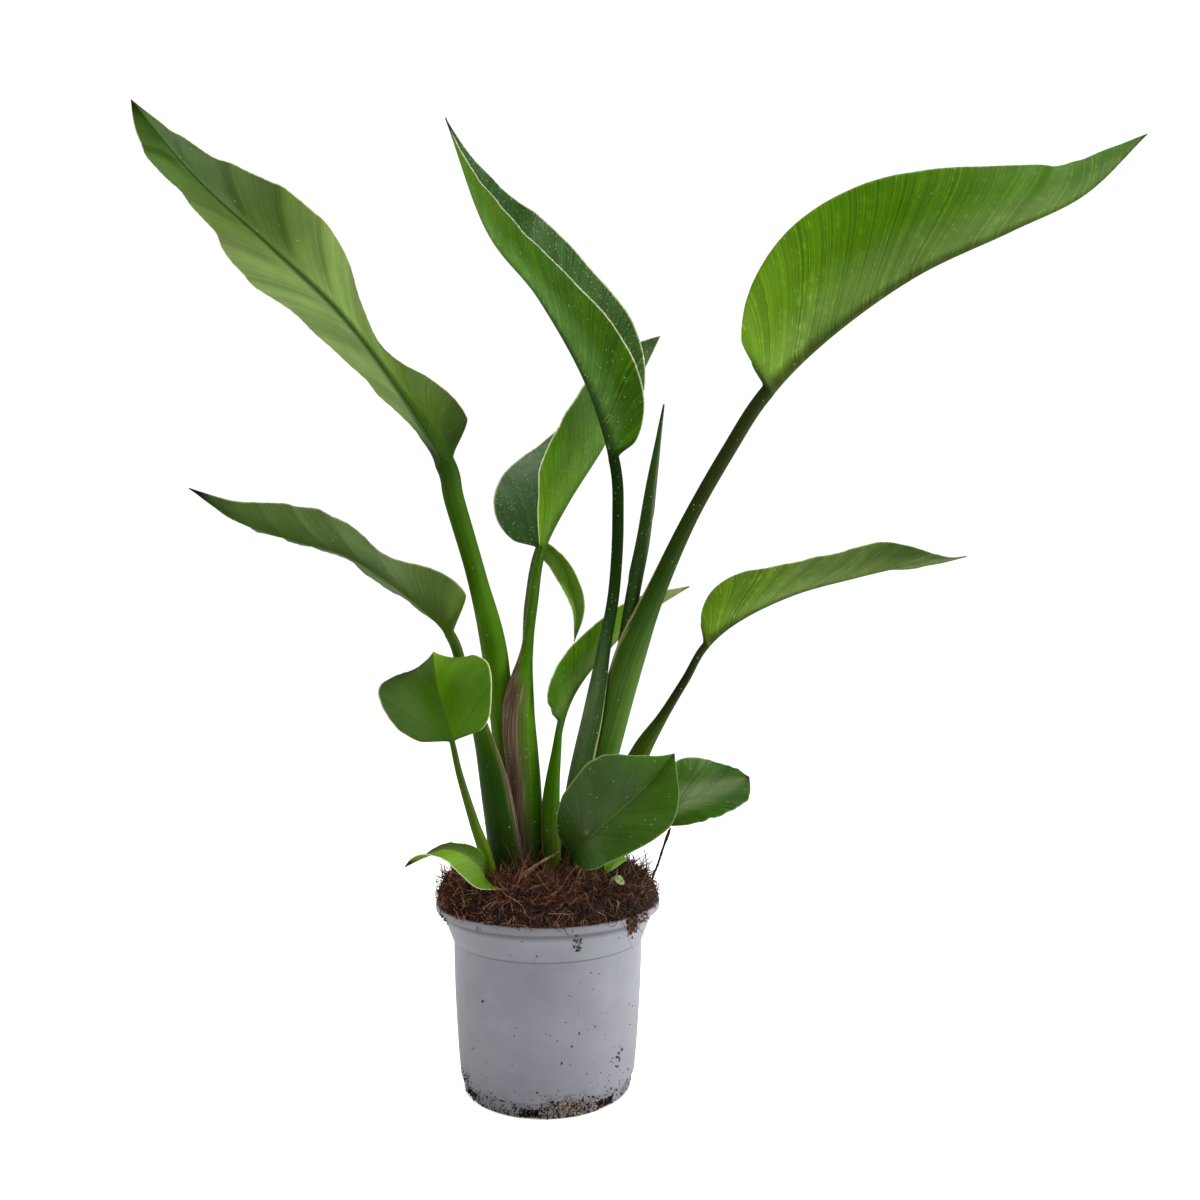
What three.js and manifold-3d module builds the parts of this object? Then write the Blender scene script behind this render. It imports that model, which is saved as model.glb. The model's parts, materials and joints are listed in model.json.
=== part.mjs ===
// Potted bird of paradise: two leaf fans growing through a mound of coir in a round nursery pot.
// Millimetres, +Z up, the front of the plant towards -Y, origin under the middle of the pot's feet.
import * as THREE from 'three';
import { mergeVertices } from 'three/addons/utils/BufferGeometryUtils.js';
import Module from 'manifold-3d';

const wasm = await Module();
wasm.setup();

// Driving dimensions.
const GAP = 0.35;
const STEM_CLEARANCE = 0.5;

const POT = {
  height: 136.5,
  rimRadius: 85,
  mouthRadius: 81.5,
  lipHeight: 5,
  lipWidth: 4,
  lipDepth: 4,
  stepRadius: 72.5,
  stepHeight: 110,
  wall: 1.8,
  edge: 0.8,
  skirt: [[67.6, 34], [70, 70], [71.4, 109]],
  flare: [[74.8, 116], [77.2, 122], [80, 128]],
  heelRadius: 65.4,
  footRadius: 62.5,
  footHeight: 11,
  footWidth: 5.5,
  floorBottom: 8.5,
  floorTop: 11.5,
  bossRadius: 15,
  bossSides: 24,
  notches: 7,
  notchDepth: 10,
  notchWidth: 17,
  notchHeight: 6.5,
  firstNotch: -98,
  drainHoles: 7,
  drainHoleRadius: 4.5,
  drainHoleSides: 10,
  drainRing: 40,
  sides: 48,
};

const SOIL = {
  profile: [[82, 137.2], [83.4, 140.5], [79, 146.5], [68, 151.5], [50, 154.5], [28, 156.5]],
  middleHeight: 157,
  heap: { middle: [-42, -52], height: 4, spread: 24 },
  roughness: 1.7,
  swellOut: 1.2,
  sides: 44,
};

// A crown is the thickened stem a fan of leaves grows from, with its fleshy roots.
const CROWNS = {
  crown_left: { middle: [-25, 0], halfSize: [21, 15], turn: 180, color: 0xb08a62 },
  crown_right: { middle: [27, 11], halfSize: [21, 15], turn: 0, color: 0xb08a62 },
};
const CROWN = {
  bottom: 80,
  top: 100,
  lump: [[0.6, 0], [1, 6], [1, 16], [0.8, 20]],
  sides: 16,
  seat: 0.9,
  roots: 5,
  rootSpan: 150,
  rootStart: 0.6,
  rootTop: 88,
  rootPath: [[-0.25, 0], [0.45, 0.07], [0.85, 0.4], [1, 1]],
  rootRadii: [3.4, 3.06, 2.38, 1.19],
  rootReach: 16,
  rootDepth: 56,
  rootStep: 9,
  rootSides: 5,
};

// Bare stems: dry remains and the rolled leaf that hasn't opened yet, tapering through their points.
const STEMS = {
  spear: {
    points: [
      [21, 11, 104], [29, 11, 161], [39, 11, 216], [49, 11, 270], [58, 10, 325], [66, 10, 373],
      [74, 12, 413], [81, 14, 461], [91, 18, 523],
    ],
    radius: [3.5, 3.6, 4, 4.6, 5.2, 5.6, 5.4, 4, 0.7],
    sides: 10,
    steps: 14,
    color: 0x2c5230,
  },
  dry_twig: {
    points: [[-17, -46, 143], [-15, -46, 156], [-14, -46, 163], [-5, -45, 171], [11, -43, 180]],
    radius: [2.4, 3.2, 2.6, 1.1, 0.8],
    sides: 7,
    steps: 9,
    color: 0x8a6247,
  },
  dry_stalk: {
    points: [
      [77, -12, 130], [79, -12, 152], [83, -12, 163], [88, -12, 178], [91, -12, 186], [93, -12, 191],
    ],
    radius: [0.9, 0.9, 0.9, 1, 1.3, 0.5],
    sides: 6,
    steps: 9,
    color: 0x241f1a,
  },
};

// Blade thickness, the shares of its half-width that carry points, and how its midrib runs out: the
// stalk opens into the blade over a short length, and its rib thins towards the tip.
const BLADE = {
  marginThickness: 0.8,
  middleThickness: 1.6,
  shares: [0.3, 0.68, 1],
  opening: 0.035,
  tipEase: 1.1,
  ribTipRadius: 0.5,
  ribTaper: 0.7,
  ribWidth: 0.6,
  ribShoulder: 0.55,
  lastRing: 0.985,
  ringEase: 1.5,
};

// Wall of a hollow stalk and the half-angle of the keel along its back.
const STALK = { wall: 1.3, wallShare: 0.3, keel: 32 };

// Each leaf is one growth from crown to tip. The spine runs through its middle, bladeFrom counts
// the spine points of the stalk, face points out of the leaf's upper side at even stations from
// crown to tip. Radius, grip (degrees the stalk wraps round to each side) and hollow (0 solid,
// 1 a thin trough) go with the spine points of the stalk. Left and right are as seen on the upper
// side. Folds are degrees up from flat, at even stations along the blade. Curl is the further bend
// of each half from the rib to its margin, and slant the lean of the halves towards the tip, at the
// blade's base and at its end. Widest is the share of the blade's length where it is widest.
const LEAVES = {
  leaf_upper_left: {
    spine: [
      [-25, 5, 105], [-30, 5, 165], [-34, 10, 230], [-42, 0, 320], [-54, -20, 380], [-68, -40, 435],
      [-74, -50, 462], [-103, -70, 510], [-140, -90, 558], [-183, -112, 597], [-226, -130, 635],
      [-263, -144, 680],
    ],
    bladeFrom: 6,
    face: [[0.6, 0.8, 0], [-0.1, 0.9, 0.4], [-0.2, 1, 0.1]],
    radius: [6.5, 7, 8, 10, 7.5, 7.5, 7.5],
    grip: [110, 110, 110, 120, 120, 125, 125],
    hollow: [0.2, 0.3, 0.4, 0.5, 0.2, 0.15, 0.15],
    halfWidth: [50, 60],
    widest: 0.4,
    taper: 1.8,
    shoulder: 0.4,
    foldLeft: [20, 80, 30, 40, 55],
    foldRight: [70, 60, 55, 65, 5],
    curl: [10, 10],
    slant: [0.3, 0.9],
    color: 0x4a6b2a,
    rings: [11, 22],
  },
  leaf_left: {
    spine: [
      [-28, -10, 110], [-30, -12, 165], [-38, -15, 220], [-50, -17, 265], [-62, -20, 300],
      [-73, -26, 337], [-105, -36, 368], [-144, -46, 394], [-182, -56, 405], [-218, -64, 417],
      [-252, -70, 440],
    ],
    bladeFrom: 5,
    face: [[0.6, 0.8, 0], [0.5, 0.7, 0.5], [0.4, 0.5, 0.8]],
    radius: [15, 14, 12.5, 7, 4.5, 4],
    grip: [100, 100, 95, 105, 120, 125],
    hollow: [0.9, 0.9, 0.85, 0.4, 0.15, 0.15],
    halfWidth: [40, 42],
    widest: 0.3,
    taper: 1.5,
    shoulder: 0.4,
    foldLeft: [45, -10, 15, 40, 40],
    foldRight: [35, 30, 35, 30, 15],
    curl: [-10, -5],
    slant: [0.3, 0.2],
    color: 0x536f38,
    rings: [9, 18],
  },
  leaf_middle: {
    spine: [
      [-14, -4, 110], [-15, -4, 165], [-18, -4, 218], [-24, -3, 280], [-19, 2, 325], [-15, 6, 364],
      [-8, 12, 405], [12, 24, 446], [40, 38, 492], [66, 52, 542], [91, 66, 595],
    ],
    bladeFrom: 6,
    face: [[-0.3, 0.95, 0], [-0.6, 0.8, -0.1], [-0.9, -0.4, 0.2], [-0.8, -0.3, 0.6], [-0.9, 0, 0.4]],
    radius: [11, 11.5, 12.5, 13, 6.5, 6, 5],
    grip: [105, 105, 105, 105, 115, 120, 125],
    hollow: [0.9, 0.9, 0.9, 0.9, 0.3, 0.15, 0.15],
    halfWidth: [58, 55],
    widest: 0.3,
    taper: 2.4,
    shoulder: 1.3,
    foldLeft: [70, 60, 40, 50, 50],
    foldRight: [25, 45, 55, 55, 55],
    curl: [0, 0],
    slant: [-0.4, 0.5],
    color: 0x4f7a2c,
    rings: [10, 20],
  },
  leaf_upper_middle: {
    spine: [
      [13, 4, 105], [19, 4, 163], [24, 4, 217], [36, 5, 275], [43, 6, 325], [51, 6, 372], [54, 2, 427],
      [51, -4, 474], [30, -18, 533], [-6, -34, 592], [-44, -48, 637], [-74, -60, 716],
    ],
    bladeFrom: 7,
    face: [[0.5, 0.9, 0], [0.8, 0.6, -0.2], [0.9, 0.4, 0], [0.9, 0, 0.5], [0.9, 0, 0.4]],
    radius: [12, 11.5, 11, 10, 6, 5, 5, 5],
    grip: [90, 90, 90, 90, 110, 120, 125, 125],
    hollow: [0.9, 0.9, 0.85, 0.7, 0.2, 0.15, 0.15, 0.15],
    halfWidth: [50, 55],
    widest: 0.35,
    taper: 1.9,
    shoulder: 1.2,
    foldLeft: [70, 45, 25, 30, 0],
    foldRight: [45, 75, 60, 75, 25],
    curl: [-5, 5],
    slant: [0, 0.4],
    color: 0x2f5a22,
    rings: [11, 20],
  },
  leaf_upper_right: {
    spine: [
      [22, 10, 105], [28, 10, 162], [36, 10, 216], [49, 10, 270], [64, 8, 325], [83, 4, 372],
      [108, -4, 426], [137, -14, 478], [166, -25, 522], [211, -40, 563], [272, -52, 603],
      [338, -62, 631], [389, -70, 654], [432, -76, 695],
    ],
    bladeFrom: 8,
    face: [[-0.3, 0.95, 0], [-0.3, 0.9, 0.1], [-0.8, 0.2, 0.5], [-0.5, 0.2, 0.8], [-0.4, 0.7, 0.6]],
    radius: [10, 11, 11.5, 12, 12.5, 8.5, 6.5, 6.5, 6.5],
    grip: [100, 100, 100, 100, 100, 115, 125, 125, 125],
    hollow: [0.9, 0.9, 0.9, 0.9, 0.9, 0.5, 0.15, 0.15, 0.15],
    halfWidth: [65, 78],
    widest: 0.25,
    taper: 2,
    shoulder: 0.6,
    foldLeft: [45, 45, 45],
    foldRight: [25, 60, 85, 90, 80],
    curl: [0, 10],
    slant: [0, 0.6],
    color: 0x4d8a22,
    rings: [12, 20],
  },
  leaf_right: {
    spine: [
      [40, 18, 102], [44, 20, 160], [55, 24, 206], [72, 28, 244], [90, 31, 272], [108, 34, 301],
      [125, 38, 329], [155, 44, 352], [202, 52, 373], [255, 60, 387], [305, 66, 398], [353, 70, 405],
    ],
    bladeFrom: 6,
    face: [[-0.4, 0.9, 0], [-0.5, 0.9, 0.1], [-0.9, 0.1, 0.5], [-0.3, -0.1, 1], [-0.2, 0.2, 1]],
    radius: [8, 7.5, 9, 8, 4.5, 4, 4],
    grip: [100, 100, 100, 105, 120, 125, 125],
    hollow: [0.9, 0.9, 0.8, 0.4, 0.15, 0.15, 0.15],
    halfWidth: [40, 44],
    widest: 0.25,
    taper: 2.8,
    shoulder: 1.2,
    foldLeft: [55, 45, 30, 5, -10],
    foldRight: [80, 45, 35, 40, -20],
    curl: [-5, 0],
    slant: [0.4, -0.5],
    color: 0x4c7a2a,
    rings: [9, 18],
  },
  leaf_inner_small: {
    spine: [
      [1, -14, 112], [3, -14, 160], [2, -14, 205], [6, -10, 249], [9, -6, 270], [20, 8, 295],
      [41, 28, 321], [73, 46, 352], [115, 62, 379],
    ],
    bladeFrom: 4,
    face: [[-0.3, 0.95, 0], [-0.5, 0.8, 0], [-0.9, -0.1, 0.3], [-0.7, 0, 0.7], [-0.6, 0, 0.8]],
    radius: [7, 7, 7, 4, 3.5],
    grip: [110, 110, 115, 120, 125],
    hollow: [0.6, 0.7, 0.7, 0.2, 0.15],
    halfWidth: [27, 28],
    widest: 0.4,
    taper: 2.8,
    shoulder: 0.6,
    foldLeft: [20, 45, 45],
    foldRight: [65, 50, 35],
    curl: [0, 0],
    slant: [0.3, 0],
    color: 0x4f8528,
    rings: [7, 13],
  },
  leaf_drooping: {
    spine: [
      [-18, 22, 101], [-20, 23, 167], [-21, 24, 238], [-20, 24, 309], [-16, 25, 365], [-8, 26, 408],
      [6, 27, 400], [14, 28, 381], [20, 28, 357], [19, 26, 332],
    ],
    bladeFrom: 5,
    face: [[-0.8, -0.6, 0], [-0.3, -1, 0.1], [0.9, -0.4, 0]],
    radius: [4.5, 4, 3.5, 3, 2.5, 2],
    grip: [115, 120, 125, 125, 125, 125],
    hollow: [0.3, 0.2, 0.15, 0.15, 0.15, 0.15],
    halfWidth: [12, 15],
    widest: 0.4,
    taper: 1.6,
    shoulder: 0.8,
    foldLeft: [85, 70, 35],
    foldRight: [30, 35, 10],
    curl: [0, 0],
    slant: [-0.2, 0.5],
    color: 0x6f9a30,
    rings: [7, 12],
  },
  leaf_round_left: {
    spine: [
      [-36, -30, 116], [-42, -33, 166], [-52, -41, 200], [-62, -46, 235], [-67, -50, 259],
      [-72, -54, 278], [-77, -56, 297], [-80, -52, 312], [-82, -44, 324],
    ],
    bladeFrom: 4,
    face: [[0, 1, 0], [0.1, 1, 0.2], [0.2, 0.8, -0.5]],
    radius: [5.5, 5, 3.5, 2.5, 2],
    grip: [115, 120, 125, 125, 125],
    hollow: [0.3, 0.2, 0.15, 0.15, 0.15],
    halfWidth: [40, 46],
    widest: 0.5,
    taper: 1.9,
    shoulder: 0.6,
    foldLeft: [15, 0, 25, 25, 65],
    foldRight: [15, 10, 10, 30, 50],
    curl: [-5, -5],
    slant: [0, 0.4],
    color: 0x5a7c30,
    rings: [6, 12],
  },
  leaf_round_front: {
    spine: [
      [22, -13, 111], [22, -18, 153], [20, -31, 173], [32, -58, 192], [50, -68, 210], [71, -76, 231],
      [91, -78, 254],
    ],
    bladeFrom: 2,
    face: [[-0.1, -1, -0.1], [-0.7, -0.7, -0.1], [-0.2, -1, 0.1]],
    radius: [5, 4, 3.5],
    grip: [115, 120, 125],
    hollow: [0.3, 0.2, 0.15],
    halfWidth: [43, 32],
    widest: 0.65,
    taper: 1.8,
    shoulder: 0.9,
    foldLeft: [25, 40, 65],
    foldRight: [40, 10, 20],
    curl: [0, -10],
    slant: [0.7, 0],
    color: 0x3f7a2c,
    rings: [4, 12],
  },
  leaf_round_right: {
    spine: [
      [41, -16, 112], [46, -15, 153], [56, -13, 178], [74, -12, 195], [97, -12, 207], [115, -14, 214],
      [134, -16, 222], [152, -18, 230],
    ],
    bladeFrom: 3,
    face: [[-0.5, -0.9, 0.1], [-0.3, -0.7, 0.6], [-0.4, -0.5, 0.8]],
    radius: [5, 4, 3.5, 3],
    grip: [115, 120, 125, 125],
    hollow: [0.3, 0.2, 0.15, 0.15],
    halfWidth: [33, 38],
    widest: 0.4,
    taper: 2.6,
    shoulder: 0.7,
    foldLeft: [60, 0, -20],
    foldRight: [25, 25, 5],
    curl: [-5, -5],
    slant: [0.6, 0.4],
    color: 0x3f7048,
    rings: [5, 12],
  },
  leaf_curled_low: {
    spine: [
      [-37, -50, 122], [-39, -51, 151], [-46, -56, 172], [-58, -60, 182], [-70, -63, 185],
      [-83, -65, 181], [-97, -66, 174],
    ],
    bladeFrom: 1,
    face: [[-0.8, 0.6, 0], [0.5, -0.3, 0.8], [-0.4, 0.1, 0.9]],
    radius: [5, 4.5],
    grip: [115, 120],
    hollow: [0.3, 0.2],
    halfWidth: [18, 16],
    widest: 0.3,
    taper: 1.8,
    shoulder: 0.8,
    foldLeft: [-40, 0, 65],
    foldRight: [40, -10, 10],
    curl: [-5, -10],
    slant: [-0.3, 0.5],
    color: 0x6f8f35,
    rings: [4, 12],
  },
  sprout_yellow: {
    spine: [[42, -34, 122], [42, -34, 154], [44, -35, 163], [50, -36, 169], [60, -37, 174]],
    bladeFrom: 2,
    face: [[0.3, -0.9, 0.2], [-0.4, -0.7, 0.6], [-0.3, -0.7, 0.7]],
    radius: [1.8, 1.8, 1.4],
    grip: [120, 120, 120],
    hollow: [0.1, 0.1, 0.1],
    halfWidth: [4.5, 5],
    widest: 0.45,
    taper: 1.7,
    shoulder: 0.9,
    foldLeft: [30, 30],
    foldRight: [20, 20],
    curl: [0, 0],
    slant: [0, 0.3],
    color: 0x8fae3c,
    rings: [3, 6],
  },
  sprout_pale: {
    spine: [[47, -46, 122], [47, -46, 154], [50, -46, 161], [57, -47, 157]],
    bladeFrom: 2,
    face: [[0.3, -0.9, 0.2], [0.2, -0.7, 0.6], [0.3, -0.8, 0.6]],
    radius: [1.5, 1.5, 1.2],
    grip: [120, 120, 120],
    hollow: [0.1, 0.1, 0.1],
    halfWidth: [3.2, 3.2],
    widest: 0.45,
    taper: 1.7,
    shoulder: 0.9,
    foldLeft: [20, 20],
    foldRight: [20, 20],
    curl: [0, 0],
    slant: [0, 0.3],
    color: 0xb9c98a,
    rings: [3, 6],
  },
};

const radians = THREE.MathUtils.degToRad;
const vec = (p) => new THREE.Vector3(...p);

// Smooth curve through evenly spaced values, each a number or a point, for u from 0 to 1.
function along(values, u) {
  const rows = values.map((v) => (Array.isArray(v) ? v : [v]));
  const last = rows.length - 1;
  const s = THREE.MathUtils.clamp(u * last, 0, last);
  const i = Math.min(Math.floor(s), last - 1);
  const t = s - i;
  const row = (k) => {
    if (k < 0) return rows[0].map((c, n) => 2 * c - rows[1][n]);
    if (k > last) return rows[last].map((c, n) => 2 * c - rows[last - 1][n]);
    return rows[k];
  };
  const [a, b, c, d] = [row(i - 1), row(i), row(i + 1), row(i + 2)];
  const out = a.map((_, n) => 0.5 * (2 * b[n] + (c[n] - a[n]) * t
    + (2 * a[n] - 5 * b[n] + 4 * c[n] - d[n]) * t * t
    + (3 * b[n] - a[n] - 3 * c[n] + d[n]) * t * t * t));
  return Array.isArray(values[0]) ? out : out[0];
}

// Middle point and directions of a leaf at u: T towards the tip, S to its right, N out of its upper side.
function leafFrame(leaf, u) {
  const step = 1e-3;
  const middle = vec(along(leaf.spine, u));
  const behind = vec(along(leaf.spine, Math.max(u - step, 0)));
  const T = vec(along(leaf.spine, Math.min(u + step, 1))).sub(behind).normalize();
  const N = vec(along(leaf.face, u));
  N.addScaledVector(T, -N.dot(T)).normalize();
  const S = new THREE.Vector3().crossVectors(T, N);
  return { middle, T, S, N };
}

// Half-width of a blade at share t of its length: a rounded base, then a taper to the tip.
function halfWidth(leaf, t, side) {
  const base = Math.min(t / leaf.widest, 1);
  const rest = Math.max((t - leaf.widest) / (1 - leaf.widest), 0);
  const round = (1 - (1 - base) ** 2) ** (leaf.shoulder / 2);
  return leaf.halfWidth[side] * round * (1 - rest ** leaf.taper) ** BLADE.tipEase;
}

// Place of the blade's middle sheet at share v of the half-width, as [right, up, along, lean].
function bladePoint(leaf, t, v, side, grow = 0) {
  const fold = radians(along(side ? leaf.foldRight : leaf.foldLeft, t));
  const turn = radians(leaf.curl[side]) * v / 2;
  const width = halfWidth(leaf, t, side) + grow;
  const reach = width * v * (Math.abs(turn) < 1e-6 ? 1 : Math.sin(turn) / turn);
  const out = reach * Math.cos(fold + turn);
  const forward = width * v * along(leaf.slant, t);
  return { right: side ? out : -out, up: reach * Math.sin(fold + turn), forward, lean: fold + 2 * turn };
}

// Closed ring of a leaf at u, in order: underside left, upper side left, middle, upper right, underside
// right, keel. Stalk and blade rings have the same order, so one grows into the other.
function leafRing(leaf, u, grow) {
  const { middle, T, S, N } = leafFrame(leaf, u);
  const start = leaf.bladeFrom / (leaf.spine.length - 1);
  const t = Math.max((u - start) / (1 - start), 0);
  const spread = THREE.MathUtils.smoothstep(t, 0, BLADE.opening);
  const share = Math.min(u / start, 1);
  const ribRadius = THREE.MathUtils.lerp(leaf.radius.at(-1), BLADE.ribTipRadius, t ** BLADE.ribTaper);
  const radius = (t > 0 ? ribRadius : along(leaf.radius, share)) + grow;
  const grip = radians(along(leaf.grip, share));
  const hollow = along(leaf.hollow, share);
  const inner = radius - Math.min(STALK.wall, radius * STALK.wallShare);
  const keel = radians(STALK.keel);
  const points = [];
  const put = (stalk, blade) => {
    const [right, up, forward] = stalk.map((c, k) => THREE.MathUtils.lerp(c, blade[k], spread));
    const point = middle.clone().addScaledVector(S, right).addScaledVector(N, up);
    points.push(point.addScaledVector(T, forward));
  };
  const onBark = (angle) => [radius * Math.sin(angle), -radius * Math.cos(angle), 0];
  const inTrough = (f) => [
    inner * THREE.MathUtils.lerp(f * Math.sin(grip), Math.sin(f * grip), hollow),
    -inner * THREE.MathUtils.lerp(Math.cos(grip), Math.cos(f * grip), hollow),
    0,
  ];
  const onBlade = (v, side, over) => {
    const p = bladePoint(leaf, t, v, side, grow);
    const thickness = THREE.MathUtils.lerp(BLADE.middleThickness, BLADE.marginThickness, v);
    const thick = (over ? 1 : -1) * (thickness / 2 + grow);
    const out = side ? -Math.sin(p.lean) : Math.sin(p.lean);
    return [p.right + out * thick, p.up + Math.cos(p.lean) * thick, p.forward];
  };
  const count = BLADE.shares.length;
  const barkAngle = (j) => THREE.MathUtils.lerp(keel, grip, (j + 1) / count);
  const outward = BLADE.shares.map((v, j) => [v, j]);
  const inward = [...outward].reverse();
  for (const [v, j] of outward) put(onBark(-barkAngle(j)), onBlade(v, 0, false));
  for (const [v, j] of inward) put(inTrough(-(j + 1) / count), onBlade(v, 0, true));
  put(inTrough(0), [0, BLADE.middleThickness / 2, 0]);
  for (const [v, j] of outward) put(inTrough((j + 1) / count), onBlade(v, 1, true));
  for (const [v, j] of inward) put(onBark(barkAngle(j)), onBlade(v, 1, false));
  const rib = [BLADE.ribWidth * radius, -BLADE.ribShoulder * radius, 0];
  put(onBark(keel), rib);
  put(onBark(0), [0, -radius, 0]);
  put(onBark(-keel), [-rib[0], rib[1], 0]);
  return points;
}

// Closed mesh from rings of equal count, each ring end closed by a fan to its own middle point.
// Columns named in flipped are split along the other diagonal.
function skin(rings, startPoint, endPoint, flipped = () => false) {
  const count = rings[0].length;
  const points = rings.flat().concat([startPoint, endPoint]);
  const faces = [];
  for (let i = 0; i + 1 < rings.length; i += 1) {
    for (let k = 0; k < count; k += 1) {
      const a = i * count + k;
      const b = i * count + (k + 1) % count;
      const [c, d] = [b + count, a + count];
      if (flipped(k)) faces.push([a, b, d], [b, c, d]);
      else faces.push([a, b, c], [a, c, d]);
    }
  }
  const top = (rings.length - 1) * count;
  for (let k = 0; k < count; k += 1) {
    const n = (k + 1) % count;
    faces.push([n, k, points.length - 2], [top + k, top + n, points.length - 1]);
  }
  return closed(points, faces);
}

// Geometry from points and faces, turned outward if the enclosed volume comes out negative.
function closed(points, faces) {
  let volume = 0;
  for (const [a, b, c] of faces) {
    volume += points[a].dot(new THREE.Vector3().crossVectors(points[b], points[c]));
  }
  const index = volume < 0 ? faces.map(([a, b, c]) => [a, c, b]) : faces;
  const geometry = new THREE.BufferGeometry();
  const coordinates = points.flatMap((p) => p.toArray());
  geometry.setAttribute('position', new THREE.Float32BufferAttribute(coordinates, 3));
  geometry.setIndex(index.flat());
  return geometry;
}

// Mesh of a leaf, every surface moved out by grow.
function leafGeometry(leaf, grow = 0) {
  const start = leaf.bladeFrom / (leaf.spine.length - 1);
  const [stalkRings, bladeRings] = leaf.rings;
  const rings = [];
  for (let i = 0; i < stalkRings; i += 1) rings.push(leafRing(leaf, start * i / stalkRings, grow));
  for (let i = 0; i <= bladeRings; i += 1) {
    const t = BLADE.lastRing * (i / bladeRings) ** BLADE.ringEase;
    rings.push(leafRing(leaf, start + (1 - start) * t, grow));
  }
  const count = BLADE.shares.length;
  const upper = (k) => k >= count && k <= 3 * count;
  return skin(rings, vec(leaf.spine[0]), vec(leaf.spine.at(-1)), upper);
}

// Round tapering tube through evenly spaced points.
const TUBE_SEAM = [0.2, -0.95, 0.1];
function tube(points, radius, sides, steps) {
  const rings = Array.from({ length: steps + 1 }, (_, i) => {
    const u = i / steps;
    const { middle, S, N } = leafFrame({ spine: points, face: [TUBE_SEAM, TUBE_SEAM] }, u);
    const r = along(radius, u);
    return Array.from({ length: sides }, (__, k) => {
      const a = 2 * Math.PI * k / sides;
      return middle.clone().addScaledVector(S, r * Math.cos(a)).addScaledVector(N, r * Math.sin(a));
    });
  });
  return skin(rings, vec(points[0]), vec(points.at(-1)));
}

// Outline turned once round the pot's axis.
function turned(profile, sides) {
  const rings = profile.map(([r, z]) => Array.from({ length: sides }, (_, k) => {
    const a = 2 * Math.PI * k / sides;
    return new THREE.Vector3(r * Math.cos(a), r * Math.sin(a), z);
  }));
  return skin(rings, new THREE.Vector3(0, 0, profile[0][1]), new THREE.Vector3(0, 0, profile.at(-1)[1]));
}

const toManifold = (geometry) => {
  const plain = geometry.clone();
  plain.deleteAttribute('normal');
  plain.deleteAttribute('uv');
  const merged = mergeVertices(plain, 1e-4);
  return new wasm.Manifold(new wasm.Mesh({
    numProp: 3,
    vertProperties: new Float32Array(merged.attributes.position.array),
    triVerts: new Uint32Array(merged.index.array),
  }));
};

const fromManifold = (solid) => {
  const mesh = solid.getMesh();
  const geometry = new THREE.BufferGeometry();
  geometry.setAttribute('position', new THREE.Float32BufferAttribute(mesh.vertProperties, 3));
  geometry.setIndex([...mesh.triVerts]);
  return geometry;
};

const group = new THREE.Group();
group.name = 'potted_bird_of_paradise';

function place(name, geometry, color, roughness) {
  geometry.computeVertexNormals();
  const material = new THREE.MeshStandardMaterial({ color, roughness, metalness: 0 });
  const mesh = new THREE.Mesh(geometry, material);
  mesh.name = name;
  group.add(mesh);
}

// Leaves, sprouts and stems.
for (const [name, leaf] of Object.entries(LEAVES)) place(name, leafGeometry(leaf), leaf.color, 0.5);
for (const [name, stem] of Object.entries(STEMS)) {
  place(name, tube(stem.points, stem.radius, stem.sides, stem.steps), stem.color, 0.6);
}

// Crown of one fan: a flat-topped lump with roots running out and down from its sides.
function crownSolid(crown, grow) {
  const [x, y] = crown.middle;
  const [a, b] = crown.halfSize;
  const last = CROWN.lump.length - 1;
  const ends = { 0: -grow, [last]: grow };
  const lump = CROWN.lump.map(([share, z], k) => [
    share * (1 + grow / b),
    CROWN.bottom + z + (ends[k] ?? 0),
  ]);
  const body = turned(lump, CROWN.sides);
  body.scale(a, b, 1);
  body.translate(x, y, 0);
  let solid = toManifold(body);
  for (let k = 0; k < CROWN.roots; k += 1) {
    const angle = radians(crown.turn + CROWN.rootSpan * (k / (CROWN.roots - 1) - 0.5));
    const depth = CROWN.rootDepth - CROWN.rootStep * (k % 3);
    const at = (reach, drop) => [
      x + Math.cos(angle) * (CROWN.rootStart * a + reach),
      y + Math.sin(angle) * (CROWN.rootStart * b + reach),
      CROWN.rootTop - drop,
    ];
    const path = CROWN.rootPath.map(([reach, drop]) => at(reach * CROWN.rootReach, drop * depth));
    const thick = CROWN.rootRadii.map((radius) => radius + grow);
    solid = solid.add(toManifold(tube(path, thick, CROWN.rootSides, path.length - 1)));
  }
  return solid;
}
for (const [name, crown] of Object.entries(CROWNS)) {
  place(name, fromManifold(crownSolid(crown, 0)), crown.color, 0.8);
}

// Pot: one moulded shell with a lipped rim, a stepped wall, a notched foot and a drained floor.
const outside = [
  [POT.footRadius - POT.edge, 0],
  [POT.footRadius, POT.edge],
  [POT.footRadius, POT.footHeight - POT.edge],
  [POT.heelRadius, POT.footHeight],
  ...POT.skirt,
  [POT.stepRadius, POT.stepHeight],
  ...POT.flare,
  [POT.rimRadius - POT.lipWidth, POT.height - POT.lipHeight - POT.edge / 2],
  [POT.rimRadius, POT.height - POT.lipHeight],
  [POT.rimRadius, POT.height - POT.edge],
  [POT.rimRadius - POT.edge, POT.height],
];
const inside = [
  [POT.heelRadius - 1.5 * POT.wall, POT.floorTop],
  [POT.skirt[1][0] - POT.wall, POT.skirt[1][1]],
  [POT.stepRadius - POT.wall, POT.stepHeight + 1],
  [POT.flare[2][0] - 3 * POT.edge - POT.wall, POT.flare[1][1] + 2],
  [POT.mouthRadius, POT.height - POT.lipDepth],
  [POT.mouthRadius, POT.height + 1],
];
const plug = (radius, bottom, top, sides) => toManifold(turned([[radius, bottom], [radius, top]], sides));
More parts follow.
